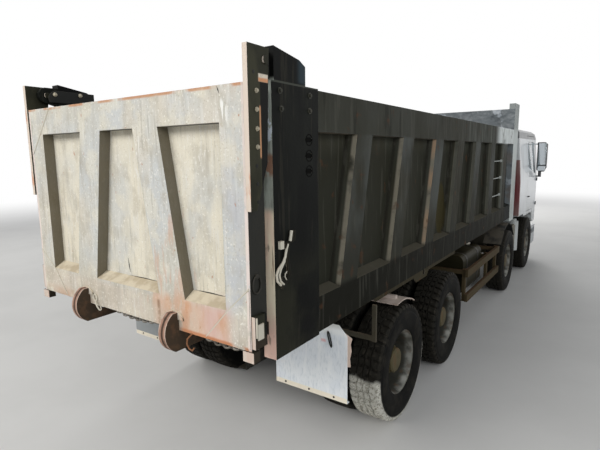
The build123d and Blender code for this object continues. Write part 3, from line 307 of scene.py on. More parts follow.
def gate_finish():
    """The tailgate's grey-white paint: scraped upright, with bluish and beige patches and dirty ledges."""
    skin = Finish("gate_paint", (194, 192, 182), 0.62, specular=0.3)
    recess = along("y", 4.905, 4.85)
    rear = facing("y", 0.2, 0.6)
    skin.layer((188, 193, 197), 0.6, patches(1.1, 0.42, 0.6, 1.2))
    skin.layer((212, 200, 178), 0.5, patches(2.2, 0.46, 0.64, 4.0, z=0.5, detail=6))
    skin.layer((224, 217, 198), 0.85, recess, rear)
    skin.layer((190, 192, 190), 0.7, recess, patches(2.0, 0.47, 0.6, 9.0, x=1.3, z=0.5, detail=7),
               along("z", 2.55, 2.2))
    skin.layer((200, 188, 172), 0.8, rear, along("z", 1.56, 1.48), patches(1.4, 0.3, 0.5, 2.6))
    skin.layer((168, 160, 142), 0.4, patches(8, 0.48, 0.64, 4.9, z=0.7, detail=9))
    skin.layer((216, 210, 192), 0.5, patches(5, 0.5, 0.62, 0.9, detail=9))
    # Scraped paint and runs of water, upright and narrow
    skin.layer((216, 215, 210), 0.5, patches(58, 0.54, 0.64, 2.2, z=0.05, detail=3),
               patches(3.0, 0.4, 0.6, 5.0))
    skin.layer((140, 134, 120), 0.35, patches(46, 0.57, 0.66, 5.2, z=0.06, detail=3),
               patches(2.2, 0.42, 0.6, 7.4))
    skin.layer((156, 150, 138), 0.3, patches(13, 0.52, 0.7, 6.2, z=0.1, detail=6))
    worn = patches(2.6, 0.5, 0.64, 6.4)
    skin.layer((226, 224, 218), 0.8, worn, patches(70, 0.6, 0.66, 3.3, z=0.2, detail=3))
    skin.layer((232, 230, 222), 0.6, patches(75, 0.6, 0.66, 1.6, z=0.6, detail=2))
    skin.layer((160, 148, 124), 0.5, patches(95, 0.62, 0.68, 8.8, detail=2))
    scratched = window((-1.0, -0.94), (2.55, 2.70), 0.02)
    skin.layer((236, 236, 232), 0.85, rear, scratched, patches(40, 0.5, 0.56, 2.9, z=0.15))
    low_stile = window((-1.10, -0.98), (1.55, 2.35), 0.06)
    skin.layer((174, 177, 184), 0.6, rear, low_stile, patches(4, 0.42, 0.58, 8.3, z=0.5, detail=6))
    gate_rust(skin, rear)
    # A painted highlight, pinkish white, along the tailgate's outer corners
    skin.layer((222, 208, 200), 0.85, rear, outer(1.100, 1.106), patches(14, 0.25, 0.5, 3.0))
    # Shaded walls of the recesses, dirt on the sloping ledges and the dark outer edges
    skin.layer((88, 79, 58), 0.9, facing("x", -0.3, -0.6), along("x", -1.10, -1.05))
    skin.layer((208, 196, 172), 0.9, facing("z", 0.3, 0.6), roughness=0.95)
    skin.layer((168, 152, 126), 0.6, facing("z", 0.3, 0.6), patches(9, 0.42, 0.6, 4.8, detail=7))
    skin.layer((70, 68, 60), 0.85, facing("z", -0.5, -0.8))
    skin.layer((24, 24, 19), 1.0, outward(0.7, 0.9), outer(1.0, 1.1))
    skin.layer((112, 106, 96), 0.9, facing("y", -0.5, -0.8))
    skin.soft_edges(0.006)
    skin.bump(noise(3.2, detail=2), 0.6, 0.02)
    skin.bump(noise(55, z=0.5, detail=4), 0.3, 0.003)
    return skin.done()


def side_finish():
    """The bed's sides: dull grey-green darkened partly as painted shade, drips on the rail, painted light on
    the rail's pale front end, scraped steel inside.
    """
    # The base colour is darker than the paint itself, partly as painted shade on this side
    skin = Finish("bed_side_paint", (57, 58, 50), 0.65, specular=0.06)
    outside = outward(-0.2, 0.2)
    skin.layer((46, 46, 41), 0.8, outer(1.1, 1.146))
    skin.layer((86, 89, 86), 0.8, outer(1.1, 1.146), patches(1.6, 0.36, 0.6, 2.9, z=0.5),
               along("z", 1.6, 2.0))
    skin.layer((50, 47, 35), 0.6, patches(1.2, 0.48, 0.64, 3.7))
    skin.layer((72, 72, 66), 0.35, patches(3.1, 0.5, 0.66, 2.4, z=0.3))
    # Painted shade: a darker band on the flats below the rail
    skin.layer((38, 38, 31), 0.75, outer(1.09, 1.07), along("z", 2.52, 2.36), outside)
    # The ribs' rear-facing flanks: painted light on their outer half, warmer on the third rib, grey on the
    # ribs ahead of it with paler painted highlights on the foremost, and painted shade on their inner half
    lit = facing("y", 0.6, 0.9)
    skin.layer((142, 136, 120), 0.85, lit, outer(1.105, 1.125), patches(5, 0.25, 0.5, 6.1))
    third = within("y", (1.90, 1.96), (2.36, 2.30))
    skin.layer((176, 142, 112), 0.6, lit, third, outer(1.105, 1.125), patches(3.4, 0.36, 0.6, 1.1))
    skin.layer((82, 83, 75), 0.9, lit, along("y", 1.90, 1.70), outer(1.105, 1.125))
    skin.layer((124, 128, 122), 0.7, lit, along("y", -0.4, -0.9), outer(1.115, 1.14))
    skin.layer((40, 39, 33), 0.7, lit, outer(1.10, 1.07))
    rail = times(along("z", 2.53, 2.56), outside)
    skin.layer((54, 54, 47), 0.8, rail)
    drips = patches(16, 0.54, 0.64, 1.3, z=0.1, detail=4)
    skin.layer((122, 125, 118), 0.85, rail, drips, along("y", 1.9, -1.2))
    skin.layer((74, 77, 71), 0.6, rail, along("y", 1.4, -0.6), patches(5, 0.4, 0.6, 3.3, z=0.3))
    skin.layer((34, 35, 30), 0.6, rail, patches(11, 0.55, 0.64, 7.3, z=0.12, detail=4))
    # The rail's pale front end, brightened as painted light
    lit_front_end = times(rail, along("y", -0.7, -1.15))
    skin.layer((236, 242, 240), 0.9, lit_front_end, patches(4, 0.2, 0.45, 2.0), roughness=0.45)
    skin.layer((150, 152, 146), 0.5, lit_front_end, patches(6, 0.5, 0.62, 9.2, z=0.3))
    sill = times(along("z", 1.51, 1.46), outside)
    skin.layer((20, 20, 15), 0.95, sill)
    skin.layer((42, 41, 34), 0.7, sill, along("y", 0.2, -1.6), patches(2.4, 0.4, 0.62, 5.1))
    skin.layer((74, 68, 52), 0.6, along("z", 1.235, 1.205), outside)
    skin.layer((86, 85, 77), 0.3, patches(22, 0.55, 0.66, 6.6, z=0.08, detail=4))
    skin.layer((80, 54, 36), 0.5, patches(7, 0.62, 0.72, 8.8))
    skin.layer((92, 88, 76), 0.7, facing("z", 0.35, 0.8), roughness=0.95)
    for height in (1.719, 1.998, 2.268):
        rung = times(along("z", height - 0.022, height - 0.018), along("z", height + 0.022, height + 0.018))
        skin.layer((196, 200, 196), 0.85, rung, outer(1.098, 1.104), outer(1.136, 1.13),
                   along("y", -0.66, -0.72))
    # An olive stain on the right wall between two ribs, and the dark stretch beside the headboard
    across = reckon("DIVIDE", reckon("SUBTRACT", place("y"), 1.52), 0.15)
    up = reckon("DIVIDE", reckon("SUBTRACT", place("z"), 1.77), 0.31)
    skin.layer((58, 52, 28), 0.75, span(length_of(across, up), 1.08, 0.86), along("x", -0.5, -0.6),
               outer(1.09, 1.07))
    skin.layer((27, 31, 31), 0.9, along("y", -1.66, -1.72), along("z", 2.54, 2.53), outside)
    # Inside, bare steel rubbed by loads
    inside = outward(0.2, -0.2)
    skin.layer((126, 120, 108), 0.95, inside, roughness=0.5)
    skin.layer((112, 92, 74), 0.7, inside, patches(2.2, 0.48, 0.62, 1.1, detail=6), roughness=0.85)
    skin.layer((170, 168, 160), 0.6, inside, patches(16, 0.55, 0.7, 5.5, x=0.1, y=0.12))
    skin.soft_edges(0.008)
    skin.bump(noise(2.4, detail=2), 0.7, 0.03)
    skin.bump(noise(50, detail=4), 0.3, 0.003)
    return skin.done()


def pillar_finish():
    """The rear corner pillars: black, a worn strip on the rear edge with painted glints and a lower part
    brightened as painted light, blue-grey paint on the bracket.
    """
    skin = Finish("pillar_paint", (15, 16, 15), 0.5, specular=0.06)
    skin.layer((28, 30, 26), 0.7, patches(3, 0.48, 0.7, 2.1, z=0.3))
    skin.layer((46, 46, 36), 0.6, along("z", 1.9, 1.5), patches(2.4, 0.4, 0.6, 3.2))
    skin.layer((52, 50, 42), 0.4, patches(18, 0.58, 0.66, 5.3, z=0.08, detail=4))
    bracket_front = times(along("z", 2.80, 2.83), along("y", 4.50, 4.44))
    skin.layer((50, 62, 68), 0.85, bracket_front)
    rear = facing("y", 0.6, 0.85)
    strip = times(rear, along("z", 2.83, 2.80))
    skin.layer((176, 182, 172), 0.9, strip, roughness=0.4)
    skin.layer((112, 116, 108), 0.7, strip, patches(8, 0.5, 0.6, 1.7, z=0.25))
    # Painted highlights: bluish-white glints on the rear strip
    skin.layer((222, 230, 240), 0.9, strip, along("z", 2.42, 2.48), along("z", 2.68, 2.62),
               patches(16, 0.52, 0.58, 3.6))
    torn = within("z", (2.27, 2.31), (2.43, 2.39))
    skin.layer((142, 98, 74), 0.85, strip, torn, patches(14, 0.4, 0.55, 2.8), roughness=0.85)
    # The strip's lower part: beige paint, brightened beyond it as painted light
    low_rear = times(strip, along("z", 2.12, 2.06))
    skin.layer((244, 232, 206), 0.95, low_rear, roughness=0.8)
    skin.layer((230, 190, 172), 0.6, low_rear, patches(5, 0.45, 0.6, 4.9, z=0.3))
    skin.layer((232, 188, 176), 0.6, strip, along("z", 1.55, 1.3))
    skin.layer((142, 112, 88), 0.75, low_rear, patches(30, 0.54, 0.62, 7.7, z=0.1, detail=5))
    skin.layer((96, 84, 70), 0.6, low_rear, patches(18, 0.6, 0.68, 2.4, z=0.3, detail=6))
    joint = within("z", (2.795, 2.798), (2.809, 2.806))
    skin.layer((70, 72, 66), 0.9, joint, outward(0.6, 0.9))
    lever = times(outer(1.1502, 1.1512), along("z", 2.05, 2.0))
    skin.layer((30, 29, 24), 0.95, lever)
    # Painted shade in the notch on the rear strip
    notch_shade = times(along("z", 1.348, 1.358), along("z", 1.440, 1.430), outer(1.10, 1.095))
    skin.layer((30, 28, 24), 0.95, strip, notch_shade)
    skin.layer((50, 48, 42), 0.6, facing("z", 0.35, 0.8), roughness=0.95)
    skin.soft_edges(0.006)
    skin.bump(noise(45, detail=4), 0.3, 0.003)
    return skin.done()


def arm_finish():
    """The tailgate's arms: olive-black sides with a few rusty streaks, a light pinkish rear edge."""
    skin = Finish("arm_paint", (40, 40, 31), 0.5, specular=0.1)
    skin.layer((64, 63, 49), 0.6, patches(4, 0.46, 0.62, 3.9, z=0.4))
    shade = times(along("y", 4.836, 4.831), along("z", 2.782, 2.776))
    skin.layer((13, 13, 11), 0.97, shade)
    streak = times(along("y", 4.830, 4.833), along("y", 4.845, 4.842), along("z", 2.38, 2.40),
                   along("z", 2.665, 2.65))
    skin.layer((196, 148, 112), 0.85, streak, patches(24, 0.3, 0.45, 6.8, z=0.2))
    cap = times(along("z", 2.778, 2.784), along("z", 2.824, 2.818), along("y", 4.765, 4.77),
                along("y", 4.85, 4.84), outward(0.7, 0.9))
    skin.layer((220, 208, 190), 0.95, cap, patches(22, 0.24, 0.36, 2.1))
    skin.layer((202, 130, 76), 0.8, cap, along("z", 2.806, 2.796), patches(26, 0.36, 0.5, 7.1))
    rear = facing("y", 0.5, 0.8)
    skin.layer((218, 204, 190), 0.95, rear, roughness=0.75)
    skin.layer((196, 140, 108), 0.75, rear, patches(14, 0.52, 0.62, 1.2, z=0.3))
    low = along("z", 1.53, 1.52)
    skin.layer((50, 42, 34), 0.85, low, along("z", 1.40, 1.385), facing("y", 0.5, 0.3))
    skin.layer((200, 184, 172), 0.8, rear, low, patches(12, 0.3, 0.5, 4.5))
    skin.soft_edges(0.004)
    skin.bump(noise(60, detail=4), 0.3, 0.002)
    return skin.done()


def headboard_finish():
    """Headboard: light grey-green posts outside, dented shiny steel on the load's side."""
    skin = Finish("headboard_paint", (204, 211, 208), 0.5, specular=0.3)
    skin.layer((178, 184, 178), 0.5, patches(3, 0.45, 0.65, 4.2, z=0.25))
    # Painted shade over the posts' tops
    skin.layer((122, 128, 126), 0.7, along("z", 2.72, 2.86))
    skin.layer((120, 124, 116), 0.5, along("z", 2.5, 1.3), patches(2, 0.35, 0.6, 8.2))
    load_side = times(facing("y", 0.5, 0.9), along("y", -2.16, -2.13))
    skin.layer((80, 88, 97), 0.95, load_side, roughness=0.3)
    # Painted reflections: bright spots where the dented steel catches light
    skin.layer((190, 198, 206), 0.75, load_side, patches(3.6, 0.57, 0.61, 1.4, detail=6), roughness=0.25)
    skin.layer((64, 68, 74), 0.6, load_side, patches(4.2, 0.54, 0.64, 5.8))
    skin.layer((112, 90, 72), 0.6, load_side, patches(3.4, 0.55, 0.66, 7.2), along("z", 2.8, 2.3))
    skin.layer((76, 74, 66), 0.6, facing("y", -0.5, -0.9), patches(2, 0.4, 0.6, 6.3))
    skin.layer((108, 104, 92), 0.6, facing("z", 0.35, 0.8), roughness=0.95)
    skin.soft_edges(0.006)
    skin.bump(noise(2.8, detail=3), 0.9, 0.05)
    return skin.done()


def floor_finish():
    skin = Finish("bed_steel", (98, 92, 82), 0.5, specular=0.3)
    skin.layer((132, 96, 70), 0.7, patches(1.8, 0.45, 0.62, 2.5, detail=6), roughness=0.85)
    skin.layer((166, 162, 152), 0.6, patches(12, 0.53, 0.7, 4.5, y=0.06))
    skin.layer((36, 35, 32), 0.9, facing("z", 0.2, -0.2))
    skin.layer((84, 79, 60), 0.9, outward(0.6, 0.9), along("z", 1.26, 1.24))
    skin.soft_edges(0.005)
    skin.bump(noise(30, detail=5), 0.4, 0.004)
    return skin.done()


def hook_finish():
    """The tailgate's hooks: dark brown cheeks, pinkish rusty rims with a groove between their two plates."""
    skin = Finish("hook_rust", (62, 50, 38), 0.75, specular=0.2)
    skin.layer((86, 64, 46), 0.6, patches(14, 0.48, 0.6, 1.6, detail=6))
    rim = times(outward(0.45, 0.25), outward(-0.45, -0.25))
    skin.layer((168, 132, 114), 0.85, rim, patches(18, 0.25, 0.5, 2.4))
    offset = reckon("ABSOLUTE", reckon("SUBTRACT", reckon("ABSOLUTE", place("x")), HOOK_X))
    skin.layer((58, 44, 34), 0.9, rim, span(offset, 0.012, 0.007))
    skin.layer((206, 190, 176), 0.6, rim, span(offset, 0.022, 0.028), patches(12, 0.35, 0.5, 5.0))
    skin.soft_edges(0.004)
    skin.bump(noise(70, detail=5), 0.5, 0.003)
    return skin.done()


def flap_finish():
    """Brushed aluminium flap plates: speckled blue-grey, a beige folded strip low, a painted highlight on the
    bent upper corner, painted shade over the left plate.
    """
    skin = Finish("flap_aluminium", (232, 236, 238), 0.5, 0.0, specular=0.4)
    skin.layer((214, 222, 232), 0.45, patches(4, 0.38, 0.66, 2.2))
    skin.layer((198, 206, 212), 0.5, patches(60, 0.5, 0.62, 4.4, z=0.3, detail=4))
    skin.layer((246, 248, 248), 0.4, patches(26, 0.52, 0.62, 6.4, z=0.1, detail=4))
    # Painted highlight on the bent upper corner of the right plate
    skin.layer((244, 246, 244), 0.7, along("z", 1.10, 1.14), along("x", -0.96, -1.02))
    skin.layer((176, 174, 166), 0.5, along("z", 1.15, 1.19), patches(9, 0.4, 0.55, 5.4))
    skin.layer((214, 150, 146), 0.7, window((-1.052, -1.012), (1.045, 1.066), 0.008))
    # Painted shade over the left plate
    skin.layer((128, 132, 132), 0.85, along("x", 0.0, 0.1))
    skin.layer((240, 230, 208), 0.9, along("z", 0.652, 0.646), facing("y", 0.3, 0.6))
    skin.bump(noise(35, detail=4), 0.25, 0.003)
    return skin.done()


def mudguard_finish():
    """The rear mudguards' remains: pale pinkish plastic on dark olive stays."""
    skin = Finish("mudguard_plastic", (204, 190, 180), 0.6, specular=0.2)
    skin.layer((170, 150, 134), 0.6, patches(7, 0.42, 0.62, 2.3))
    skin.layer((58, 55, 42), 0.97, along("y", 3.42, 3.46))
    return dust_and_glint_layers(skin, (150, 130, 110), 0.4)


def tyre_finish(name, muddy):
    """Black rubber with fine rings on its walls; a wheel's place is measured from its own middle."""
    skin = Finish(name, (13, 13, 12), 0.7, specular=0.08)
    skin.layer((26, 25, 22), 0.5, patches(7, 0.44, 0.66, 2.0))
    tread = span(FROM_AXLE, 0.485, 0.50)
    skin.layer((40, 38, 33), 0.6, tread)
    skin.layer((64, 60, 52), 0.45, patches(26, 0.54, 0.66, 5.0), tread)
    skin.layer((48, 45, 39), 0.3, patches(9, 0.5, 0.62, 9.0))
    if muddy:
        # Mud low on the tread, its pale brightness and upper edge partly painted light falling under the flap
        # plate
        low = reckon("ADD", place("z"), reckon("MULTIPLY", noise(16, 1.0, detail=4), 0.10))
        mud_and_light = times(span(low, 0.09, 0.03), span(FROM_AXLE, 0.478, 0.492), outer(0.93, 0.95))
        skin.layer((196, 194, 184), 0.96, mud_and_light, roughness=0.95)
        skin.layer((118, 114, 100), 0.7, mud_and_light, patches(60, 0.5, 0.6, 3.0, detail=3))
        skin.layer((206, 205, 196), 0.6, mud_and_light, patches(80, 0.56, 0.64, 7.0, detail=3))
    skin.bump(reckon("SINE", reckon("MULTIPLY", FROM_AXLE, 520.0)), 0.25, 0.0015)
    skin.bump(noise(90, detail=3), 0.3, 0.002)
    return skin.done()


def rim_finish():
    """Wheels: a dark disc, an olive-brown hub and a grey barrel scuffed bright."""
    skin = Finish("rim_paint", (26, 26, 22), 0.5, specular=0.15)
    skin.layer((84, 77, 54), 0.9, span(FROM_AXLE, 0.148, 0.142))
    barrel = span(FROM_AXLE, 0.2605, 0.263)
    skin.layer((66, 66, 60), 0.9, barrel, roughness=0.4)
    skin.layer((168, 168, 160), 0.8, barrel, outer(1.13, 1.19), patches(6, 0.35, 0.6, 1.9))
    skin.layer((92, 88, 74), 0.6, span(FROM_AXLE, 0.284, 0.29))
    skin.layer((98, 76, 56), 0.5, patches(12, 0.5, 0.66, 3.0), roughness=0.85)
    skin.layer((42, 40, 34), 0.5, patches(5, 0.45, 0.65, 6.0))
    skin.bump(noise(70, detail=3), 0.3, 0.002)
    return skin.done()


def cab_finish():
    """The cab's silver-white paint, dark above the doors, with a dark red strip at its rear corners."""
    skin = Finish("cab_paint", (214, 219, 222), 0.32)
    skin.set({"Coat Weight": 0.4})
    skin.layer((160, 160, 152), 0.5, along("z", 1.6, 1.0), patches(3, 0.4, 0.65, 2.0), roughness=0.6)
    strip = times(along("y", -2.712, -2.700), along("z", 1.2, 1.22), along("z", 2.27, 2.25))
    skin.layer((104, 10, 20), 0.97, strip)
    skin.layer((62, 64, 66), 0.9, along("z", 2.65, 2.67), roughness=0.5)
    skin.layer((150, 146, 136), 0.3, patches(4, 0.5, 0.7, 4.0, z=0.25))
    skin.layer((66, 66, 66), 0.9, outward(-0.2, -0.6))
    # Black door mirrors and the dirt thrown up round the wheel arches
    skin.layer((30, 31, 32), 0.97, outer(1.226, 1.232), roughness=0.45)
    skin.layer((112, 106, 94), 0.55, along("z", 1.35, 0.95), patches(9, 0.42, 0.62, 6.2, detail=6),
               roughness=0.8)
    skin.soft_edges(0.012)
    return skin.done()


def glass_finish(name, colour, clearness):
    skin = Finish(name, colour, 0.04)
    skin.set({"Transmission Weight": clearness, "IOR": 1.45})
    skin.layer((226, 234, 236), 0.4, patches(5, 0.4, 0.7, 2.0), roughness=0.2)
    return skin.done()


def seat_finish():
    """Woven seat cloth: dark grey with a fine weave and a faded middle."""
    skin = Finish("seat_cloth", (72, 72, 74), 0.9, specular=0.1)
    skin.set({"Sheen Weight": 0.3})
    skin.layer((96, 94, 92), 0.5, patches(5, 0.4, 0.65, 1.4))
    skin.bump(noise(420, detail=1), 0.5, 0.001)
    return skin.done()


FINISHES = {
    "gate": gate_finish(),
    "side": side_finish(),
    "pillar": pillar_finish(),
    "arm": arm_finish(),
    "headboard": headboard_finish(),
    "floor": floor_finish(),
    "hook": hook_finish(),
    "flap": flap_finish(),
    "tyre": tyre_finish("tyre_rubber", False),
    "muddy_tyre": tyre_finish("muddy_tyre_rubber", True),
    "rim": rim_finish(),
    "cab": cab_finish(),
    "glass": glass_finish("cab_glass", (196, 210, 212), 0.72),
    "door_glass": glass_finish("door_glass", (222, 233, 237), 0.58),
    "lamp_glass": glass_finish("lamp_glass", (236, 240, 242), 0.9),
    "reflector": plain_finish("lamp_reflector", (226, 228, 230), 0.12, 1.0, amount=0.15, depth=0.03,
                              specular=0.5),
    "remnant": plain_finish("torn_rubber", (206, 186, 172), 0.8, dust_and_glint=(176, 160, 146), amount=0.4),
    "seat": seat_finish(),
    "chassis": plain_finish("chassis_paint", (30, 29, 26), 0.6, dust_and_glint=(96, 90, 78), amount=0.4, specular=0.1),
    "axle": plain_finish("axle_iron", (38, 34, 29), 0.65, dust_and_glint=(96, 90, 78), amount=0.4, specular=0.1),
    "engine": plain_finish("engine_iron", (66, 66, 63), 0.55),
    "tank": plain_finish("tank_paint", (33, 31, 20), 0.5, dust_and_glint=(66, 60, 42), amount=0.5, specular=0.08),
    "box": plain_finish("box_paint", (92, 88, 74), 0.55),
    "filter": plain_finish("filter_paint", (196, 200, 198), 0.4),
    "guard": plain_finish("guard_paint", (70, 61, 43), 0.7, dust_and_glint=(78, 56, 40), amount=0.8, specular=0.1),
    "mudguard": mudguard_finish(),
    "dark_plastic": plain_finish("mudguard_dark_plastic", (40, 41, 40), 0.6, specular=0.2),
    "bumper": plain_finish("bumper_paint", (186, 190, 192), 0.4, amount=0.5),
    "lens": plain_finish("lamp_lens", (214, 218, 220), 0.12, amount=0.2, depth=0.05, specular=0.5),
    "grille": plain_finish("grille_plastic", (40, 41, 42), 0.5),
    "interior": plain_finish("interior_plastic", (58, 57, 56), 0.7, amount=0.3),
    "hoist": plain_finish("hoist_paint", (120, 116, 104), 0.5),
    "chrome": plain_finish("hoist_chrome", (190, 192, 194), 0.22, 0.9, amount=0.25, depth=0.05, specular=0.5),
    "hole": plain_finish("grommet_rubber", (9, 9, 8), 0.8, dust_and_glint=(30, 29, 26), amount=0.2, specular=0.05),
    "black": plain_finish("black_paint", (24, 25, 23), 0.5, amount=0.3, specular=0.2),
    "mirror": plain_finish("mirror_glass", (206, 212, 216), 0.05, 1.0, amount=0.1, depth=0.02, specular=0.5),
    # The chain's pale top colour is a painted highlight where the links catch light
    "chain": plain_finish("chain_steel", (104, 99, 90), 0.55, 0.2, dust_and_glint=(226, 220, 210), amount=0.9),
    "pale_steel": plain_finish("pale_steel", (198, 193, 178), 0.5, dust_and_glint=(170, 150, 124), amount=0.5),
    "bolt": plain_finish("bolt_steel", (170, 162, 142), 0.5, 0.1),
    "dark_bolt": plain_finish("dark_bolt_steel", (50, 50, 43), 0.5, 0.1, specular=0.2),
    "amber": plain_finish("amber_lens", (214, 120, 36), 0.15, amount=0.2, depth=0.05, specular=0.5),
    "rust": plain_finish("rusty_steel", (132, 92, 66), 0.8, dust_and_glint=(176, 132, 100), amount=0.6, specular=0.1),
}


NODE_FINISHES = {
    "chassis_frame": "chassis", "front_axles": "axle", "rear_axles": "axle", "driveline": "axle",
    "engine": "engine", "fuel_tank": "tank", "exhaust_box": "chassis", "battery_box": "box",
    "air_tanks": "chassis", "air_filter": "filter", "side_guards": "guard", "rear_mudguards": "mudguard",
    "front_mudguards": "dark_plastic", "rear_flap_plates": "flap", "front_bumper": "bumper",
    "headlamps": "lens",
    "bed_floor": "floor", "bed_side_left": "side", "bed_side_right": "side", "bed_headboard": "headboard",
    "bed_pillars": "pillar", "tailgate_panel": "gate", "tailgate_arms": "arm", "tailgate_hooks": "hook",
    "hoist_barrel": "hoist", "cab_shell": "cab", "cab_windscreen": "glass", "door_left": "cab",
    "door_right": "cab", "door_glass_left": "door_glass", "door_glass_right": "door_glass",
    "cab_grille": "grille", "cab_interior": "interior",
}

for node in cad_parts:
    finish = NODE_FINISHES.get(node, "chrome" if node.startswith("hoist_stage") else "axle")
    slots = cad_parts[node].data.materials
    slots.clear()
    slots.append(FINISHES[finish])


def circle(count, turn=0.0):
    """The cosine and sine of each step round a circle; turn is a share of one step."""
    angles = [2 * math.pi * (index + turn) / count for index in range(count)]
    return [(math.cos(angle), math.sin(angle)) for angle in angles]


def arc(count, degrees):
    """Angles in equal steps over a stretch."""
    return [math.radians(degrees[0] + (degrees[1] - degrees[0]) * step / count) for step in range(count + 1)]


def grid(rows, columns, closed=False):
    """Faces between rows of points that each run round; closed joins the last row to the first."""
    faces = []
    for row in range(rows if closed else rows - 1):
        following = (row + 1) % rows
        for column in range(columns):
            after = (column + 1) % columns
            faces.append([row * columns + column, row * columns + after,
                          following * columns + after, following * columns + column])
    return faces


class Shape:
    """Points and faces that are collected into one piece."""

    def __init__(self):
        self.points = []
        self.faces = []

    def add(self, points, faces):
        first = len(self.points)
        self.points += [Vector(point) for point in points]
        self.faces += [[first + index for index in face] for face in faces]

    def prism(self, outline, push):
        """A closed outline pushed through a thickness."""
        count = len(outline)
        points = list(outline) + [point + push for point in outline]
        faces = [list(range(count)), list(range(2 * count - 1, count - 1, -1))]
        for index in range(count):
            after = (index + 1) % count
            faces.append([index, count + index, count + after, after])
        self.add(points, faces)

    def block(self, side, x, y, z):
        """A box on one side of the lorry; x is counted outwards."""
        inner, outer = sorted((side * x[0], side * x[1]))
        corners = ((inner, y[0]), (outer, y[0]), (outer, y[1]), (inner, y[1]))
        self.prism([Vector((*corner, z[0])) for corner in corners], Vector((0, 0, z[1] - z[0])))

    def tube(self, points, sides):
        """Rings of points joined up, with flat ends."""
        last = len(points) - sides
        ends = [list(range(sides))[::-1], list(range(last, last + sides))]
        self.add(points, grid(len(points) // sides, sides) + ends)

    def spin(self, centre, axis, profile, sides):
        """A turned form: the profile gives how far along the axis, and the radius there."""
        axis = Vector(axis).normalized()
        across = axis.orthogonal().normalized()
        beside = axis.cross(across)
        spokes = [across * cosine + beside * sine for cosine, sine in circle(sides)]
        points = []
        for far, radius in profile:
            points += [Vector(centre) + axis * far + spoke * radius for spoke in spokes]
        self.tube(points, sides)

    def bar(self, path, radius, sides=8):
        """A round bar along straight runs, with mitred turns."""
        runs = [(after - before).normalized() for before, after in zip(path, path[1:])]
        across = runs[0].orthogonal().normalized()
        points = []
        for index, point in enumerate(path):
            ahead = (runs[max(index - 1, 0)] + runs[min(index, len(runs) - 1)]).normalized()
            across = (across - ahead * across.dot(ahead)).normalized()
            beside = ahead.cross(across)
            points += [point + (across * cosine + beside * sine) * radius for cosine, sine in circle(sides)]
        self.tube(points, sides)

    def ring(self, centre, ahead, beside, reach, half_width, radius, turns=16, sides=6):
        """A closed oval of round bar, such as a chain's link."""
        ahead = ahead.normalized()
        beside = (beside - ahead * beside.dot(ahead)).normalized()
        upright = ahead.cross(beside)
        points = []
        for cosine, sine in circle(turns):
            away = (ahead * cosine / reach + beside * sine / half_width).normalized()
            middle = centre + ahead * reach * cosine + beside * half_width * sine
            points += [middle + (away * near + upright * far) * radius for near, far in circle(sides)]
        self.add(points, grid(turns, sides, closed=True))

    def band(self, inner, outer, push):
        """A closed strip between two like outlines, pushed to its width."""
        count = len(inner)
        points = inner + outer + [point + push for point in inner] + [point + push for point in outer]
        faces = []
        for index in range(count):
            after = (index + 1) % count
            corners = [(row * count + index, row * count + after) for row in range(4)]
            for first, second in ((0, 1), (1, 3), (3, 2), (2, 0)):
                faces.append([*corners[first], *corners[second][::-1]])
        self.add(points, faces)

    def mesh(self, name):
        """A mesh of the collected faces, all turned outwards."""
        mesh = bpy.data.meshes.new(name)
        mesh.from_pydata(self.points, [], self.faces)
        work = bmesh.new()
        work.from_mesh(mesh)
        bmesh.ops.recalc_face_normals(work, faces=work.faces)
        work.to_mesh(mesh)
        work.free()
        return mesh


def studs(x, spots, profile, sides, outwards=1):
    """The same turned form at each station and height on both sides of the lorry."""
    shape = Shape()
    for side in (-1, 1):
        for station, z in spots:
            shape.spin(at(side * x, station, z), (side * outwards, 0, 0), profile, sides)
    return shape


SHARP_ANGLE = math.radians(32)


def place_piece(name, body, mesh, finish, slot, replaces=(), bevel=0.0, matrix=None):
    """One piece of the scene, riding on a body; a bevel rounds its edges."""
    obj = add_object(name, mesh)
    if not mesh.materials:
        mesh.materials.append(FINISHES[finish])
    if matrix is not None:
        obj.matrix_world = matrix
    if bevel:
        rounding = obj.modifiers.new("rounding", "BEVEL")
        rounding.width = bevel
        rounding.segments = 2
        rounding.limit_method = "ANGLE"
        rounding.harden_normals = False
    mesh.shade_smooth()
    mesh.set_sharp_from_angle(angle=SHARP_ANGLE)
    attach(obj, body)
    if replaces:
        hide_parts(*replaces)
    return obj


def make_piece(name, body, shape, finish, slot, **settings):
    place_piece(name, body, shape.mesh(name), finish, slot, **settings)


# Tyres: lathed sections with blocks cut by a zigzag of grooves and cross grooves
TYRE_HALF = 0.15
TYRE_RADIUS = 0.530
TREAD_PITCHES = 44
TREAD_PHASES = (0.0, 0.05, 0.30, 0.35, 0.56, 0.78)
CROSS_GROOVE = (0.05, 0.30)
CROSS_SKEW = 0.35
ZIGZAG = 0.006
GROOVE_DEPTH = 0.013
LUG_DEPTH = 0.024


def tyre_rows(steered):
    """Rows round a tyre: place across, radius, if a groove's floor, if cross grooves cut it, if zigzag."""
    wall = [
        (0.118, 0.288), (0.128, 0.292), (0.137, 0.308), (0.1385, 0.322), (0.145, 0.345), (0.149, 0.385),
        (0.150, 0.415), (0.148, 0.445), (0.1465, 0.458), (0.1435, 0.462), (0.143, 0.484),
    ]
    cut = 0 if steered else 1
    half = [(x, radius, 0, 0, 0) for x, radius in wall]
    half += [(x, radius, 0, cut, 0) for x, radius in (
        (0.1405, 0.496), (0.134, 0.516), (0.124, 0.5245), (0.105, 0.527), (0.072, 0.5285))]
    half += [(0.0635, 0.5288, 0, 0, 1), (0.0605, 0.5288, 1, 0, 1), (0.0515, 0.529, 1, 0, 1),
             (0.0485, 0.529, 0, 0, 1), (0.040, 0.5295, 0, cut, 0), (0.018, 0.53, 0, cut, 0),
             (0.0085, 0.53, 0, 0, 1), (0.0055, 0.53, 1, 0, 1)]
    return half + [(-x, *rest) for x, *rest in half[::-1]]


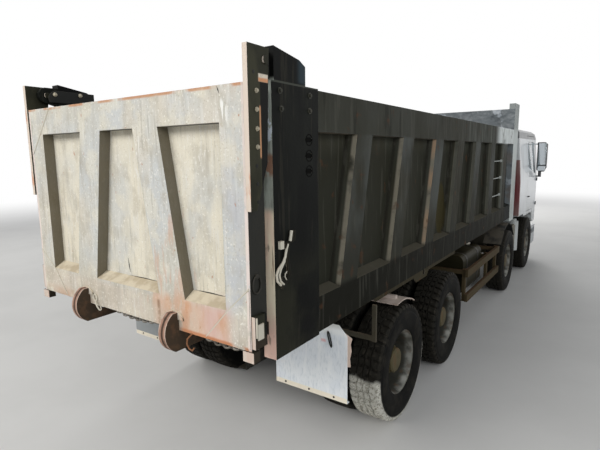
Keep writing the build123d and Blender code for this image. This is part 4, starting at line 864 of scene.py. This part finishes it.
def tyre_mesh(name, centres, steered, lug_depth=GROOVE_DEPTH):
    """One or two tyres round the wheel's own middle, each a closed ring; X points out of the lorry."""
    shape = Shape()
    rows = tyre_rows(steered)
    columns = [(pitch, phase) for pitch in range(TREAD_PITCHES) for phase in TREAD_PHASES]
    for centre in centres:
        points = []
        for x, radius, floor, cross, zigzag in rows:
            skew = CROSS_SKEW * abs(x) / TYRE_HALF if cross else 0
            for pitch, phase in columns:
                angle = 2 * math.pi * (pitch + phase + skew) / TREAD_PITCHES
                wave = abs(((pitch + phase) % 2) - 1) * 2 - 1
                shift = x + (ZIGZAG * wave if zigzag else 0)
                cut = lug_depth if cross and phase in CROSS_GROOVE else GROOVE_DEPTH if floor else 0
                reach = radius - cut
                points.append((centre + shift, reach * math.cos(angle), reach * math.sin(angle)))
        shape.add(points, grid(len(rows), len(columns), closed=True))
    return shape.mesh(name)


# Wheels: a barrel with its flange, a dished disc with hand holes, nuts on a ring and a stepped hub
OUT = (1, 0, 0)
WHEEL_HOLES = 10
WHEEL_STUDS = 10
NUT_CIRCLE = 0.1585
HUB_BOLT_CIRCLE = 0.108
DISC_FLAT = 0.175
DISC_EDGES = (0.176, 0.266)
HOLE_PLACE = 0.222
HOLE_RADIUS = 0.026
DISC_THICKNESS = 0.012


def disc_with_holes(shape, x_at):
    """Repeated sectors of the disc, each with both faces and its hole's wall."""
    half = math.pi / WHEEL_HOLES
    inner, outer = DISC_EDGES
    corners = ((-half, inner), (half, inner), (half, outer), (-half, outer))
    steps = 4
    border = []
    for (angle, radius), (next_angle, next_radius) in zip(corners, corners[1:] + corners[:1]):
        border += [(angle + (next_angle - angle) * step / steps,
                    radius + (next_radius - radius) * step / steps) for step in range(steps)]
    middle = Vector((HOLE_PLACE, 0))
    shares = (0.0, 0.45, 0.8, 1.0)
    quads = grid(len(shares), len(border))
    for number in range(WHEEL_HOLES):
        turn = 2 * math.pi * number / WHEEL_HOLES
        front = []
        for share in shares:
            for angle, radius in border:
                flat = Vector((radius * math.cos(angle), radius * math.sin(angle)))
                spot = flat.lerp(middle + (flat - middle).normalized() * HOLE_RADIUS, share)
                bearing = math.atan2(spot.y, spot.x) + turn
                reach = spot.length
                front.append((x_at(reach), reach * math.cos(bearing), reach * math.sin(bearing)))
        back = [(x - DISC_THICKNESS, y, z) for x, y, z in front]
        faces = []
        for quad in quads:
            faces += [quad, [len(front) + corner for corner in quad[::-1]]]
        last = len(front) - len(border)
        for index in range(len(border)):
            rim = (last + index, last + (index + 1) % len(border))
            faces.append([*rim, len(front) + rim[1], len(front) + rim[0]])
        shape.add(front + back, faces)


def stud_circle(shape, reach, turn, profile):
    """Hexagonal studs on a circle round the wheel's axle."""
    for cosine, sine in circle(WHEEL_STUDS, turn):
        shape.spin((0, reach * cosine, reach * sine), OUT, profile, 6)


def rim_mesh(name, flange, disc, hub_end, barrel_end, lean):
    """A steel wheel round its own middle, X pointing out; lean is how far the disc's middle stands out."""
    shape = Shape()
    barrel = [(barrel_end, 0.274), (barrel_end, 0.294),
              (barrel_end + 0.012, 0.297), (barrel_end + 0.02, 0.288),
              (flange - 0.03, 0.288), (flange - 0.014, 0.2975), (flange - 0.004, 0.299), (flange, 0.295),
              (flange - 0.004, 0.289), (flange - 0.022, 0.281),
              (flange - 0.05, 0.272), (flange - 0.10, 0.2655),
              (disc + 0.004, 0.262), (disc - 0.03, 0.264), (barrel_end, 0.274)]
    turns = circle(64)
    shape.add([(x, radius * cosine, radius * sine) for x, radius in barrel for cosine, sine in turns],
              grid(len(barrel), len(turns)))

    def x_at(radius):
        share = min(max((radius - DISC_FLAT) / (DISC_EDGES[1] - DISC_FLAT), 0), 1)
        return disc + lean * (1 - share)

    disc_with_holes(shape, x_at)
    centre = disc + lean
    reach = hub_end - centre
    plate = [(centre - 0.012, 0.178), (centre, 0.178), (centre, 0.141), (centre - 0.012, 0.139)]
    shape.spin((0, 0, 0), OUT, plate, 48)
    nut = [(-0.001, 0.021), (0.005, 0.021), (0.006, 0.0165), (0.026, 0.0155), (0.028, 0.011), (0.040, 0.0105)]
    stud_circle(shape, NUT_CIRCLE, 0.5, [(centre + far, radius) for far, radius in nut])
    hub = [(centre - 0.05, 0.139), (centre + 0.012, 0.139),
           (centre + 0.022, 0.133), (centre + reach * 0.55, 0.128),
           (centre + reach * 0.6, 0.118), (centre + reach * 0.86, 0.112),
           (hub_end - 0.004, 0.098), (hub_end, 0.05)]
    shape.spin((0, 0, 0), OUT, hub, 40)
    base = centre + reach * 0.80
    stud_circle(shape, HUB_BOLT_CIRCLE, 0, [(base, 0.0075), (base + reach * 0.1, 0.0075)])
    return shape.mesh(name)


WHEELS = (
    # axle, station, tyre mesh, rim mesh
    ("1", 8.63, "steer", "steer"),
    ("2", 6.68, "steer", "steer"),
    ("3", 3.28, "lugged", "twin"),
    ("4", 1.93, "twin", "twin"),
)
OUTER_CENTRE = 1.10
TWIN_SPACING = 0.35
TWIN_CENTRES = (OUTER_CENTRE, OUTER_CENTRE - TWIN_SPACING)
TYRES = {
    "steer": tyre_mesh("steer_tyre", (OUTER_CENTRE,), True),
    "twin": tyre_mesh("twin_tyre", TWIN_CENTRES, False),
    "muddy": tyre_mesh("muddy_tyre", TWIN_CENTRES, False),
    "lugged": tyre_mesh("lugged_tyre", TWIN_CENTRES, False, LUG_DEPTH),
}
RIMS = {
    "steer": rim_mesh("steer_rim", 1.226, 1.150, 1.21, 0.975, -0.02),
    "twin": rim_mesh("twin_rim", 1.226, 1.030, 1.185, 0.625, 0.028),
}
for axle, station, tyre, rim in WHEELS:
    for side, word in ((1, "left"), (-1, "right")):
        turn = Matrix.Rotation(0 if side > 0 else math.pi, 4, "Z")
        matrix = Matrix.Translation(at(0, station, TYRE_RADIUS)) @ turn
        body = f"wheel_{axle}_{word}"
        muddy = axle == "4" and word == "right"
        place_piece(f"tread_{axle}_{word}", body, TYRES["muddy" if muddy else tyre],
                    "muddy_tyre" if muddy else "tyre", "tyre_rubber",
                    (f"tyres_axle_{axle}_{word}",), matrix=matrix)
        place_piece(f"wheel_disc_{axle}_{word}", body, RIMS[rim], "rim", "rim_paint",
                    (f"rims_axle_{axle}_{word}",), matrix=matrix)


# Pieces reach this far into what they lie on
OVERLAP = 0.001

# Tailgate: gusset plates, cracks, weld beads and pads over the hooks
GATE_FACE = 0.0
RECESS_FACE = 0.08
GATE_FOOT = 1.322
GUSSET_THICKNESS = 0.003
CRACK_RELIEF = 0.0008
BEAD_RADIUS = 0.0042
PAD_REACH = 0.084
PAD_FOOT = 1.392
PAD_RISE = 0.056
PAD_THICKNESS = 0.009
gussets = Shape()
for corners in (
    # x and z of each plate's corners
    ((-1.12, 1.334), (-1.12, 1.675), (-0.956, 1.542), (-0.764, 1.334)),
    ((1.12, 1.334), (1.12, 1.66), (0.923, 1.523), (0.778, 1.334)),
    ((1.12, 2.760), (0.818, 2.760), (1.101, 2.434), (1.12, 2.434)),
):
    gussets.prism([at(x, GATE_FACE, z) for x, z in corners], Vector((0, GUSSET_THICKNESS, 0)))
make_piece("gate_gussets", "tailgate", gussets, "gate", "gate_paint", bevel=0.001)

cracks = Shape()
for start, end, face, width in (
    # x and z of each end, the station of the face, the width
    ((-0.932, 2.771), (-0.949, 2.729), GATE_FACE, 0.008),
    ((0.076, 1.705), (0.057, 1.592), RECESS_FACE, 0.010),
    ((0.060, 1.577), (-0.262, 1.5765), RECESS_FACE, 0.008),
    ((-0.605, 1.577), (-0.876, 1.577), RECESS_FACE, 0.010),
):
    first = at(start[0], face, start[1])
    last = at(end[0], face, end[1])
    beside = (last - first).cross(Vector((0, 1, 0))).normalized() * width / 2
    outline = [first, (first + last) / 2 + beside, last, (first + last) / 2 - beside]
    cracks.prism(outline, Vector((0, CRACK_RELIEF, 0)))
make_piece("gate_cracks", "tailgate", cracks, "black", "gate_paint")

welds = Shape()
for path in (
    # x and z of each bead's corners
    ((-1.12, 1.684), (-0.956, 1.531), (-0.770, 1.336)),
    ((1.12, 1.668), (0.923, 1.512), (0.784, 1.336)),
    ((1.101, 2.440), (0.822, 2.757)),
):
    welds.bar([at(x, GATE_FACE - 0.0005, z) for x, z in path], BEAD_RADIUS, 6)
make_piece("gate_welds", "tailgate", welds, "pale_steel", "gate_paint")

pads = Shape()
for middle in (HOOK_X, -HOOK_X):
    pads.prism([at(middle + PAD_REACH * math.cos(angle), GATE_FACE, PAD_FOOT + PAD_RISE * math.sin(angle))
                for angle in arc(12, (0, 180))], Vector((0, PAD_THICKNESS, 0)))
make_piece("hook_pads", "tailgate", pads, "gate", "gate_paint", bevel=0.003)

# Loose iron at the tailgate's foot: two chains, a bent rod and a link on the left hook
CHAIN_STEP = 0.038
CHAIN_STATION = 0.07
CHAIN_DROP = 0.023
LINK_LEANS = (-0.9, 0.5)
# Half the length and half the width of a link, and its bar's radius
LINK_SIZES = (0.026, 0.016, 0.0058)
REARWARD = Vector((0, 1, 0))
chains = Shape()
for start_x, end_x, sag in ((0.262, -0.262, 0.026), (-0.665, -1.045, 0.024)):
    links = round(abs(end_x - start_x) / CHAIN_STEP)
    for number in range(links):
        share = (number + 0.5) / links
        slope = 4 * sag * (2 * share - 1) * abs(1 / (end_x - start_x))
        drop = 4 * sag * share * (1 - share)
        middle = at(start_x + (end_x - start_x) * share, CHAIN_STATION, GATE_FOOT - CHAIN_DROP - drop)
        ahead = Vector((math.copysign(1, end_x - start_x), 0, slope)).normalized()
        lean = LINK_LEANS[number % 2]
        beside = REARWARD * math.cos(lean) + ahead.cross(REARWARD) * math.sin(lean)
        chains.ring(middle, ahead, beside.normalized(), *LINK_SIZES)
make_piece("gate_chains", "tailgate", chains, "chain", "hook_rust")

rod = Shape()
rod.bar([at(*point) for point in (
    (-0.664, 0.03, 1.335), (-0.644, 0.0, 1.322), (-0.612, -0.012, 1.288), (-0.606, -0.012, 1.252),
    (-0.622, -0.008, 1.222), (-0.642, -0.002, 1.214), (-0.652, 0.004, 1.232))], 0.0052)
make_piece("gate_rod", "tailgate", rod, "rust", "hook_rust")

link = Shape()
link.ring(at(0.352, -0.007, 1.328), Vector((0.55, 0, 0.83)), REARWARD, 0.042, 0.013, 0.006)
link.ring(at(0.385, -0.007, 1.378), Vector((0.2, 0, 0.98)), Vector((0.98, 0, -0.2)), 0.026, 0.020, 0.006)
make_piece("hook_link", "tailgate", link, "pale_steel", "hook_rust")

# The tailgate's arms: bolts, plug holes with a worn arc over them, latch blocks and side rings
ARM_FACE = 1.159
bolts = studs(ARM_FACE - OVERLAP, [(0.055, z) for z in (2.733, 2.638, 2.54, 2.446)],
              [(0, 0.014), (0.004, 0.014), (0.0045, 0.0095), (0.0125, 0.009)], 6)
make_piece("arm_bolts", "tailgate", bolts, "bolt", "black_paint")

plugs = studs(ARM_FACE, ((0.036, 2.824), (0.046, 2.348), (0.049, 2.253), (0.050, 2.158)),
              [(-0.002, 0.011), (0.0008, 0.011), (0.0012, 0.009)], 12)
for side in (-1, 1):
    plugs.bar([at(side * ARM_FACE, 0.085 + 0.075 * math.cos(angle), 2.85 + 0.072 * math.sin(angle))
               for angle in arc(8, (65, -10))], 0.0022, 6)
make_piece("arm_plugs", "tailgate", plugs, "black", "black_paint")

LATCH_X = (1.152, 1.161)
latches = Shape()
for side in (-1, 1):
    for stations, z in (((0.071, 0.022), (1.388, 1.480)), ((0.018, 0.008), (1.405, 1.522))):
        latches.block(side, LATCH_X, [ORIGIN_STATION - station for station in stations], z)
make_piece("latch_blocks", "tailgate", latches, "pale_steel", "black_paint", bevel=0.003)

rings = studs(1.126, ((0.052, 1.744),), [(0, 0.014), (0.012, 0.014), (0.015, 0.009)], 10)
for side in (-1, 1):
    rings.ring(at(side * 1.133, 0.052, 1.697), Vector((0, 0, 1)), Vector((0, 1, 0)), 0.050, 0.034, 0.0055)
make_piece("gate_side_rings", "tailgate", rings, "black", "black_paint")

# Rear corners: bolts, rubber grommets in the lamp holes, and the bracket's inner cheek with its pin heads
PILLAR_FACE = 1.150
pillar_bolts = studs(PILLAR_FACE - OVERLAP, ((0.267, 2.755), (0.278, 2.658), (0.565, 2.755), (0.563, 2.665)),
                     [(0, 0.02), (0.004, 0.02), (0.0045, 0.012), (0.014, 0.011)], 6)
make_piece("pillar_bolts", "bed", pillar_bolts, "dark_bolt", "black_paint")

grommets = studs(PILLAR_FACE, [(0.555, z) for z in (2.303, 2.397, 2.492)],
                 [(-0.004, 0.036), (0.0012, 0.036), (0.0022, 0.0335), (0.0012, 0.031), (-0.002, 0.029)], 28)
make_piece("lamp_grommets", "bed", grommets, "hole", "black_paint")

CHEEK_X = 1.0555
CHEEK_THICKNESS = 0.008
CHEEK_CORNER = 0.07
cheeks = Shape()
for side in (-1, 1):
    rounded = [(0.20 - CHEEK_CORNER * math.sin(angle), 2.866 + CHEEK_CORNER * math.cos(angle))
               for angle in arc(6, (0, 90))[1:]]
    outline = [(0.52, 2.845), (0.52, 2.936), (0.20, 2.936), *rounded, (0.135, 2.84)]
    cheeks.prism([at(side * CHEEK_X, station, z) for station, z in outline],
                 Vector((side * CHEEK_THICKNESS, 0, 0)))
make_piece("bracket_cheeks", "bed", cheeks, "black", "black_paint", bevel=0.002)
cheek_pins = studs(CHEEK_X + OVERLAP, ((0.183, 2.905), (0.395, 2.915)),
                   [(0, 0.017), (0.007, 0.017), (0.010, 0.013), (0.018, 0.010)], 12, outwards=-1)
make_piece("bracket_pins", "bed", cheek_pins, "bolt", "black_paint")

# Flap plates: a hanging loop and rivets, and a torn strip of old rubber behind the right one's outer edge
FLAP_FACE = 0.90
flap_trim = Shape()
for side in (-1, 1):
    flap_trim.ring(at(side * 1.088, FLAP_FACE - 0.005, 1.076), Vector((side * 0.25, 0, -0.97)),
                   Vector((0.97, 0, side * 0.25)), 0.060, 0.009, 0.005)
    for x in (0.68, 0.90, 1.12):
        flap_trim.spin(at(side * x, FLAP_FACE - 0.002, 0.632), REARWARD,
                       [(-0.002, 0.008), (0.002, 0.007)], 10)
make_piece("flap_trim", "root", flap_trim, "black", "flap_aluminium")

REMNANT = ((1.19, 0.885), (1.255, 0.90), (1.25, 0.96), (1.262, 1.02), (1.255, 1.07), (1.268, 1.115),
           (1.21, 1.145), (1.19, 1.10))
remnants = Shape()
remnants.prism([at(-x, FLAP_FACE + 0.0045, z) for x, z in REMNANT], Vector((0, -0.004, 0)))
make_piece("flap_remnant", "root", remnants, "remnant", "flap_aluminium")

# Levers on the rear corners: a block, a stub and curved hooks
LEVER_X = PILLAR_FACE + 0.0145
LEVER_CURVES = (
    # radius, then the station and height along each bar
    (0.0080, ((0.300, 1.890), (0.286, 1.862), (0.272, 1.815), (0.246, 1.783), (0.206, 1.757), (0.187, 1.726),
              (0.195, 1.687), (0.228, 1.657))),
    (0.0070, ((0.284, 1.858), (0.262, 1.789), (0.228, 1.752), (0.213, 1.718), (0.225, 1.681),
              (0.256, 1.655))),
    (0.0040, ((0.287, 1.728), (0.270, 1.716), (0.266, 1.700), (0.282, 1.676))),
    (0.0100, ((0.338, 1.964), (0.322, 1.903))),
)
levers = Shape()
for side in (-1, 1):
    for radius, curve in LEVER_CURVES:
        levers.bar([at(side * LEVER_X, station, z) for station, z in curve], radius)
    levers.block(side, (PILLAR_FACE - OVERLAP, PILLAR_FACE + 0.021),
                 (ORIGIN_STATION - 0.257, ORIGIN_STATION - 0.225), (1.868, 1.915))
make_piece("corner_levers", "bed", levers, "pale_steel", "black_paint", bevel=0.002)

# Fuel tank: two straps round it and a cap on its neck
TANK_X = (-1.11, -0.45)
TANK_Z = (0.50, 1.04)
TANK_CORNER = 0.09
STRAP_THICKNESS = 0.004
STRAP_WIDTH = 0.055


def rounded_section(grow, station):
    """The tank's section, grown outwards, at a station."""
    radius = TANK_CORNER + grow
    left, right = TANK_X[0] + TANK_CORNER, TANK_X[1] - TANK_CORNER
    low, high = TANK_Z[0] + TANK_CORNER, TANK_Z[1] - TANK_CORNER
    outline = []
    for corner, (x, z) in enumerate(((right, high), (left, high), (left, low), (right, low))):
        for angle in arc(6, (90 * corner, 90 * corner + 90)):
            outline.append(at(x + radius * math.cos(angle), station, z + radius * math.sin(angle)))
    return outline


straps = Shape()
for station in (4.45, 5.02):
    straps.band(rounded_section(-OVERLAP, station), rounded_section(STRAP_THICKNESS, station),
                Vector((0, -STRAP_WIDTH, 0)))
make_piece("tank_straps", "root", straps, "black", "tank_paint", bevel=0.001)
cap = Shape()
neck_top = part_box("fuel_tank")[1][2]
cap.spin(at(-0.93, 5.10, neck_top - 0.012), (0, 0, 1),
         [(0, 0.052), (0.016, 0.054), (0.022, 0.050), (0.024, 0.030), (0.034, 0.028), (0.036, 0.020)], 20)
make_piece("tank_cap", "root", cap, "pale_steel", "tank_paint")

# Cab doors: handles, and the glasses of the two mirrors on each side
MIRROR_X = (1.262, 1.412)
MIRROR_Y = (ORIGIN_STATION - 9.292, ORIGIN_STATION - 9.286)
for side, word in ((1, "left"), (-1, "right")):
    handle = Shape()
    handle.bar([at(side * x, station, 1.50)
                for x, station in ((1.218, 8.50), (1.236, 8.515), (1.236, 8.63), (1.218, 8.645))], 0.011)
    make_piece(f"door_handle_{word}", f"{word}_door", handle, "black", "cab_paint")
    mirror = Shape()
    mirror.block(side, MIRROR_X, MIRROR_Y, (2.13, 2.59))
    mirror.block(side, MIRROR_X, MIRROR_Y, (2.005, 2.105))
    make_piece(f"mirror_glass_{word}", f"{word}_door", mirror, "mirror", "cab_paint", bevel=0.004)

# Front lamps in the bumper's holes: a bezel, a round reflector behind glass and a ribbed amber corner lamp
LAMP_LOW, LAMP_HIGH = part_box("headlamps")
LAMP_X = (0.82, LAMP_HIGH[0])
LAMP_Z = (LAMP_LOW[2], LAMP_HIGH[2])
LAMP_RIM = 0.014
LAMP_DIVIDER = (0.990, 1.0)
LAMP_RIBS = 9
BUMPER_FACE = LAMP_LOW[1]
bezels = Shape()
glasses = Shape()
bowls = Shape()
corner_lamps = Shape()


def lamp_outline(side, inset):
    """The lamp hole's outline just behind the bumper's face, drawn in by an inset."""
    left, right = LAMP_X[0] + inset, LAMP_X[1] - inset
    low, high = LAMP_Z[0] + inset, LAMP_Z[1] - inset
    corners = ((left, low), (right, low), (right, high), (left, high))
    return [Vector((side * x, BUMPER_FACE + 0.0006, z)) for x, z in corners]


for side in (-1, 1):
    bezels.band(lamp_outline(side, LAMP_RIM), lamp_outline(side, 0.0004), Vector((0, 0.055, 0)))
    low, high = (LAMP_Z[0] + LAMP_RIM - OVERLAP, LAMP_Z[1] - LAMP_RIM + OVERLAP)
    for shape, x, y in (
        (bezels, LAMP_DIVIDER, (0.0006, 0.0556)),
        (bezels, (LAMP_X[0] + 0.002, LAMP_X[1] - 0.002), (0.052, 0.058)),
        (glasses, (LAMP_X[0] + LAMP_RIM - OVERLAP, LAMP_DIVIDER[0] + OVERLAP), (0.003, 0.006)),
        (corner_lamps, (LAMP_DIVIDER[1] - OVERLAP, LAMP_X[1] - LAMP_RIM + OVERLAP), (0.006, 0.012)),
    ):
        shape.block(side, x, [BUMPER_FACE + depth for depth in y], (low, high))
    for row in range(LAMP_RIBS):
        foot = low + 0.004 + (high - low - 0.006) * row / LAMP_RIBS
        corner_lamps.block(side, (LAMP_DIVIDER[1], LAMP_X[1] - LAMP_RIM),
                           (BUMPER_FACE + 0.003, BUMPER_FACE + 0.007), (foot, foot + 0.009))
    bowls.spin((side * 0.912, BUMPER_FACE + 0.052, (low + high) / 2), (0, -1, 0),
               [(0.0, 0.020), (0.014, 0.050), (0.040, 0.0695), (0.042, 0.066), (0.017, 0.046), (0.005, 0.018),
                (0.005, 0.009), (0.030, 0.008), (0.033, 0.004)], 32)
make_piece("lamp_bezels", "root", bezels, "black", "black_paint", bevel=0.001)
make_piece("headlamp_glasses", "root", glasses, "lamp_glass", "lamp_lens", replaces=("headlamps",),
           bevel=0.0012)
make_piece("headlamp_bowls", "root", bowls, "reflector", "lamp_lens")
make_piece("corner_lamps", "root", corner_lamps, "amber", "lamp_lens", bevel=0.001)

# Two wipers, each a pivot, an arm and a blade
screen_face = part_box("cab_windscreen")[0][1]
wipers = Shape()
for pivot_x in (0.62, -0.22):
    pivot = Vector((pivot_x, screen_face - 0.004, 1.875))
    tip = pivot + Vector((-0.42, 0, 0.36))
    wipers.spin(pivot, (0, -1, 0), [(-0.01, 0.018), (0.012, 0.018), (0.016, 0.010)], 12)
    wipers.bar([pivot + Vector((0, -0.008, 0)), pivot.lerp(tip, 0.5) + Vector((0, -0.016, 0)),
                tip + Vector((0, -0.010, 0))], 0.006)
    blade = Vector((0.20, 0, 0.22))
    wipers.bar([tip - blade + Vector((0, -0.006, 0)), tip + Vector((0, -0.009, 0)),
                tip + blade + Vector((0, -0.006, 0))], 0.007, 6)
make_piece("wipers", "cab", wipers, "black", "grille_plastic")


# Seats: a cushion's squareness, then its waist, crown and sewn channels as shares of its half sizes
CUSHION_SQUARENESS = 7
WAIST = 0.035
CROWN = 0.16
CHANNEL_DEPTH = 0.09
CHANNEL_WIDTH = 0.035
CHANNEL_REACH = 0.6


def cushion_mesh(name, half_sizes, channels):
    """A crowned pad: rounded on every edge, its sides drawn in between corners, with sewn channels across."""
    mesh = bpy.data.meshes.new(name)
    work = bmesh.new()
    bmesh.ops.create_cube(work, size=2.0)
    bmesh.ops.subdivide_edges(work, edges=work.edges, cuts=15, use_grid_fill=True)
    for vertex in work.verts:
        u, v, w = vertex.co
        reach = sum(abs(part) ** CUSHION_SQUARENESS for part in (u, v, w)) ** (1 / CUSHION_SQUARENESS)
        u, v, w = u / reach, v / reach, w / reach
        waist = 1 - WAIST * (1 - v * v)
        crown = 1 - CROWN * (u * u + v * v)
        groove = 0.0
        for number in range(channels):
            middle = -CHANNEL_REACH + 2 * CHANNEL_REACH * number / (channels - 1)
            groove += CHANNEL_DEPTH * math.exp(-((v - middle) / CHANNEL_WIDTH) ** 2)
        vertex.co = (half_sizes[0] * u * waist, half_sizes[1] * v, half_sizes[2] * w * (crown - groove))
    work.to_mesh(mesh)
    work.free()
    return mesh


SEAT_X = 0.84
BACK_LEAN = Matrix.Rotation(math.radians(99), 4, "X")
for side, word in ((1, "left"), (-1, "right")):
    for part, half_sizes, channels, station, height, lean in (
        ("squab", (0.245, 0.235, 0.085), 4, 8.44, 1.665, Matrix()),
        ("back", (0.235, 0.335, 0.075), 5, 8.155, 2.02, BACK_LEAN),
    ):
        matrix = Matrix.Translation(at(side * SEAT_X, station, height)) @ lean
        seat = place_piece(f"seat_{part}_{word}", "cab", cushion_mesh(part, half_sizes, channels), "seat",
                           "interior_plastic", matrix=matrix)


# Floor, light and backdrop; the floor fades into the backdrop between two distances
FLOOR_HALF = 90
FLOOR_FADE = (9, 26)


def seen_by_camera(tree):
    """1 for rays from the camera and those that gloss or glass sends on, 0 for the light on the object."""
    light_path = tree.nodes.new("ShaderNodeLightPath")
    share = light_path.outputs["Is Camera Ray"]
    for ray in ("Is Glossy Ray", "Is Transmission Ray"):
        larger = tree.nodes.new("ShaderNodeMath")
        larger.operation = "MAXIMUM"
        tree.links.new(share, larger.inputs[0])
        tree.links.new(light_path.outputs[ray], larger.inputs[1])
        share = larger.outputs[0]
    return share


def mix_shaders(tree, share, first, second, output):
    mix = tree.nodes.new("ShaderNodeMixShader")
    for source, socket in zip((share, first, second), mix.inputs):
        tree.links.new(source, socket)
    tree.links.new(mix.outputs[0], tree.nodes[output].inputs["Surface"])


def make_floor():
    mesh = bpy.data.meshes.new("floor")
    corners = [(FLOOR_HALF * x, FLOOR_HALF * y, 0) for x, y in ((-1, -1), (1, -1), (1, 1), (-1, 1))]
    mesh.from_pydata(corners, [], [(0, 1, 2, 3)])
    floor = add_object("floor", mesh)
    skin = Finish("floor", (214, 213, 210), 0.9)
    skin.layer((204, 203, 200), 0.5, patches(0.8, 0.35, 0.65))
    mesh.materials.append(skin.done())
    far = skin.made(span(length_of(place("x"), place("y")), *FLOOR_FADE))
    share = skin.node("Math", {0: far, 1: seen_by_camera(skin.tree)}, operation="MULTIPLY").outputs[0]
    glow = skin.node("Emission", {"Strength": 1.0}).outputs[0]
    mix_shaders(skin.tree, share, skin.shader.outputs[0], glow, "Material Output")


def make_world():
    world = bpy.data.worlds.new("studio")
    bpy.context.scene.world = world
    world.use_nodes = True
    tree = world.node_tree
    backdrop = tree.nodes.new("ShaderNodeBackground")
    ambient = tree.nodes["Background"]
    for node, colour, strength in ((backdrop, (1, 1, 1, 1), 1.0), (ambient, (0.93, 0.96, 1.0, 1), 0.32)):
        node.inputs["Color"].default_value = colour
        node.inputs["Strength"].default_value = strength
    mix_shaders(tree, seen_by_camera(tree), ambient.outputs[0], backdrop.outputs[0], "World Output")


make_camera()
make_floor()
make_world()
for lamp in LAMPS:
    make_lamp(*lamp)

bpy.context.scene.view_settings.view_transform = "Standard"
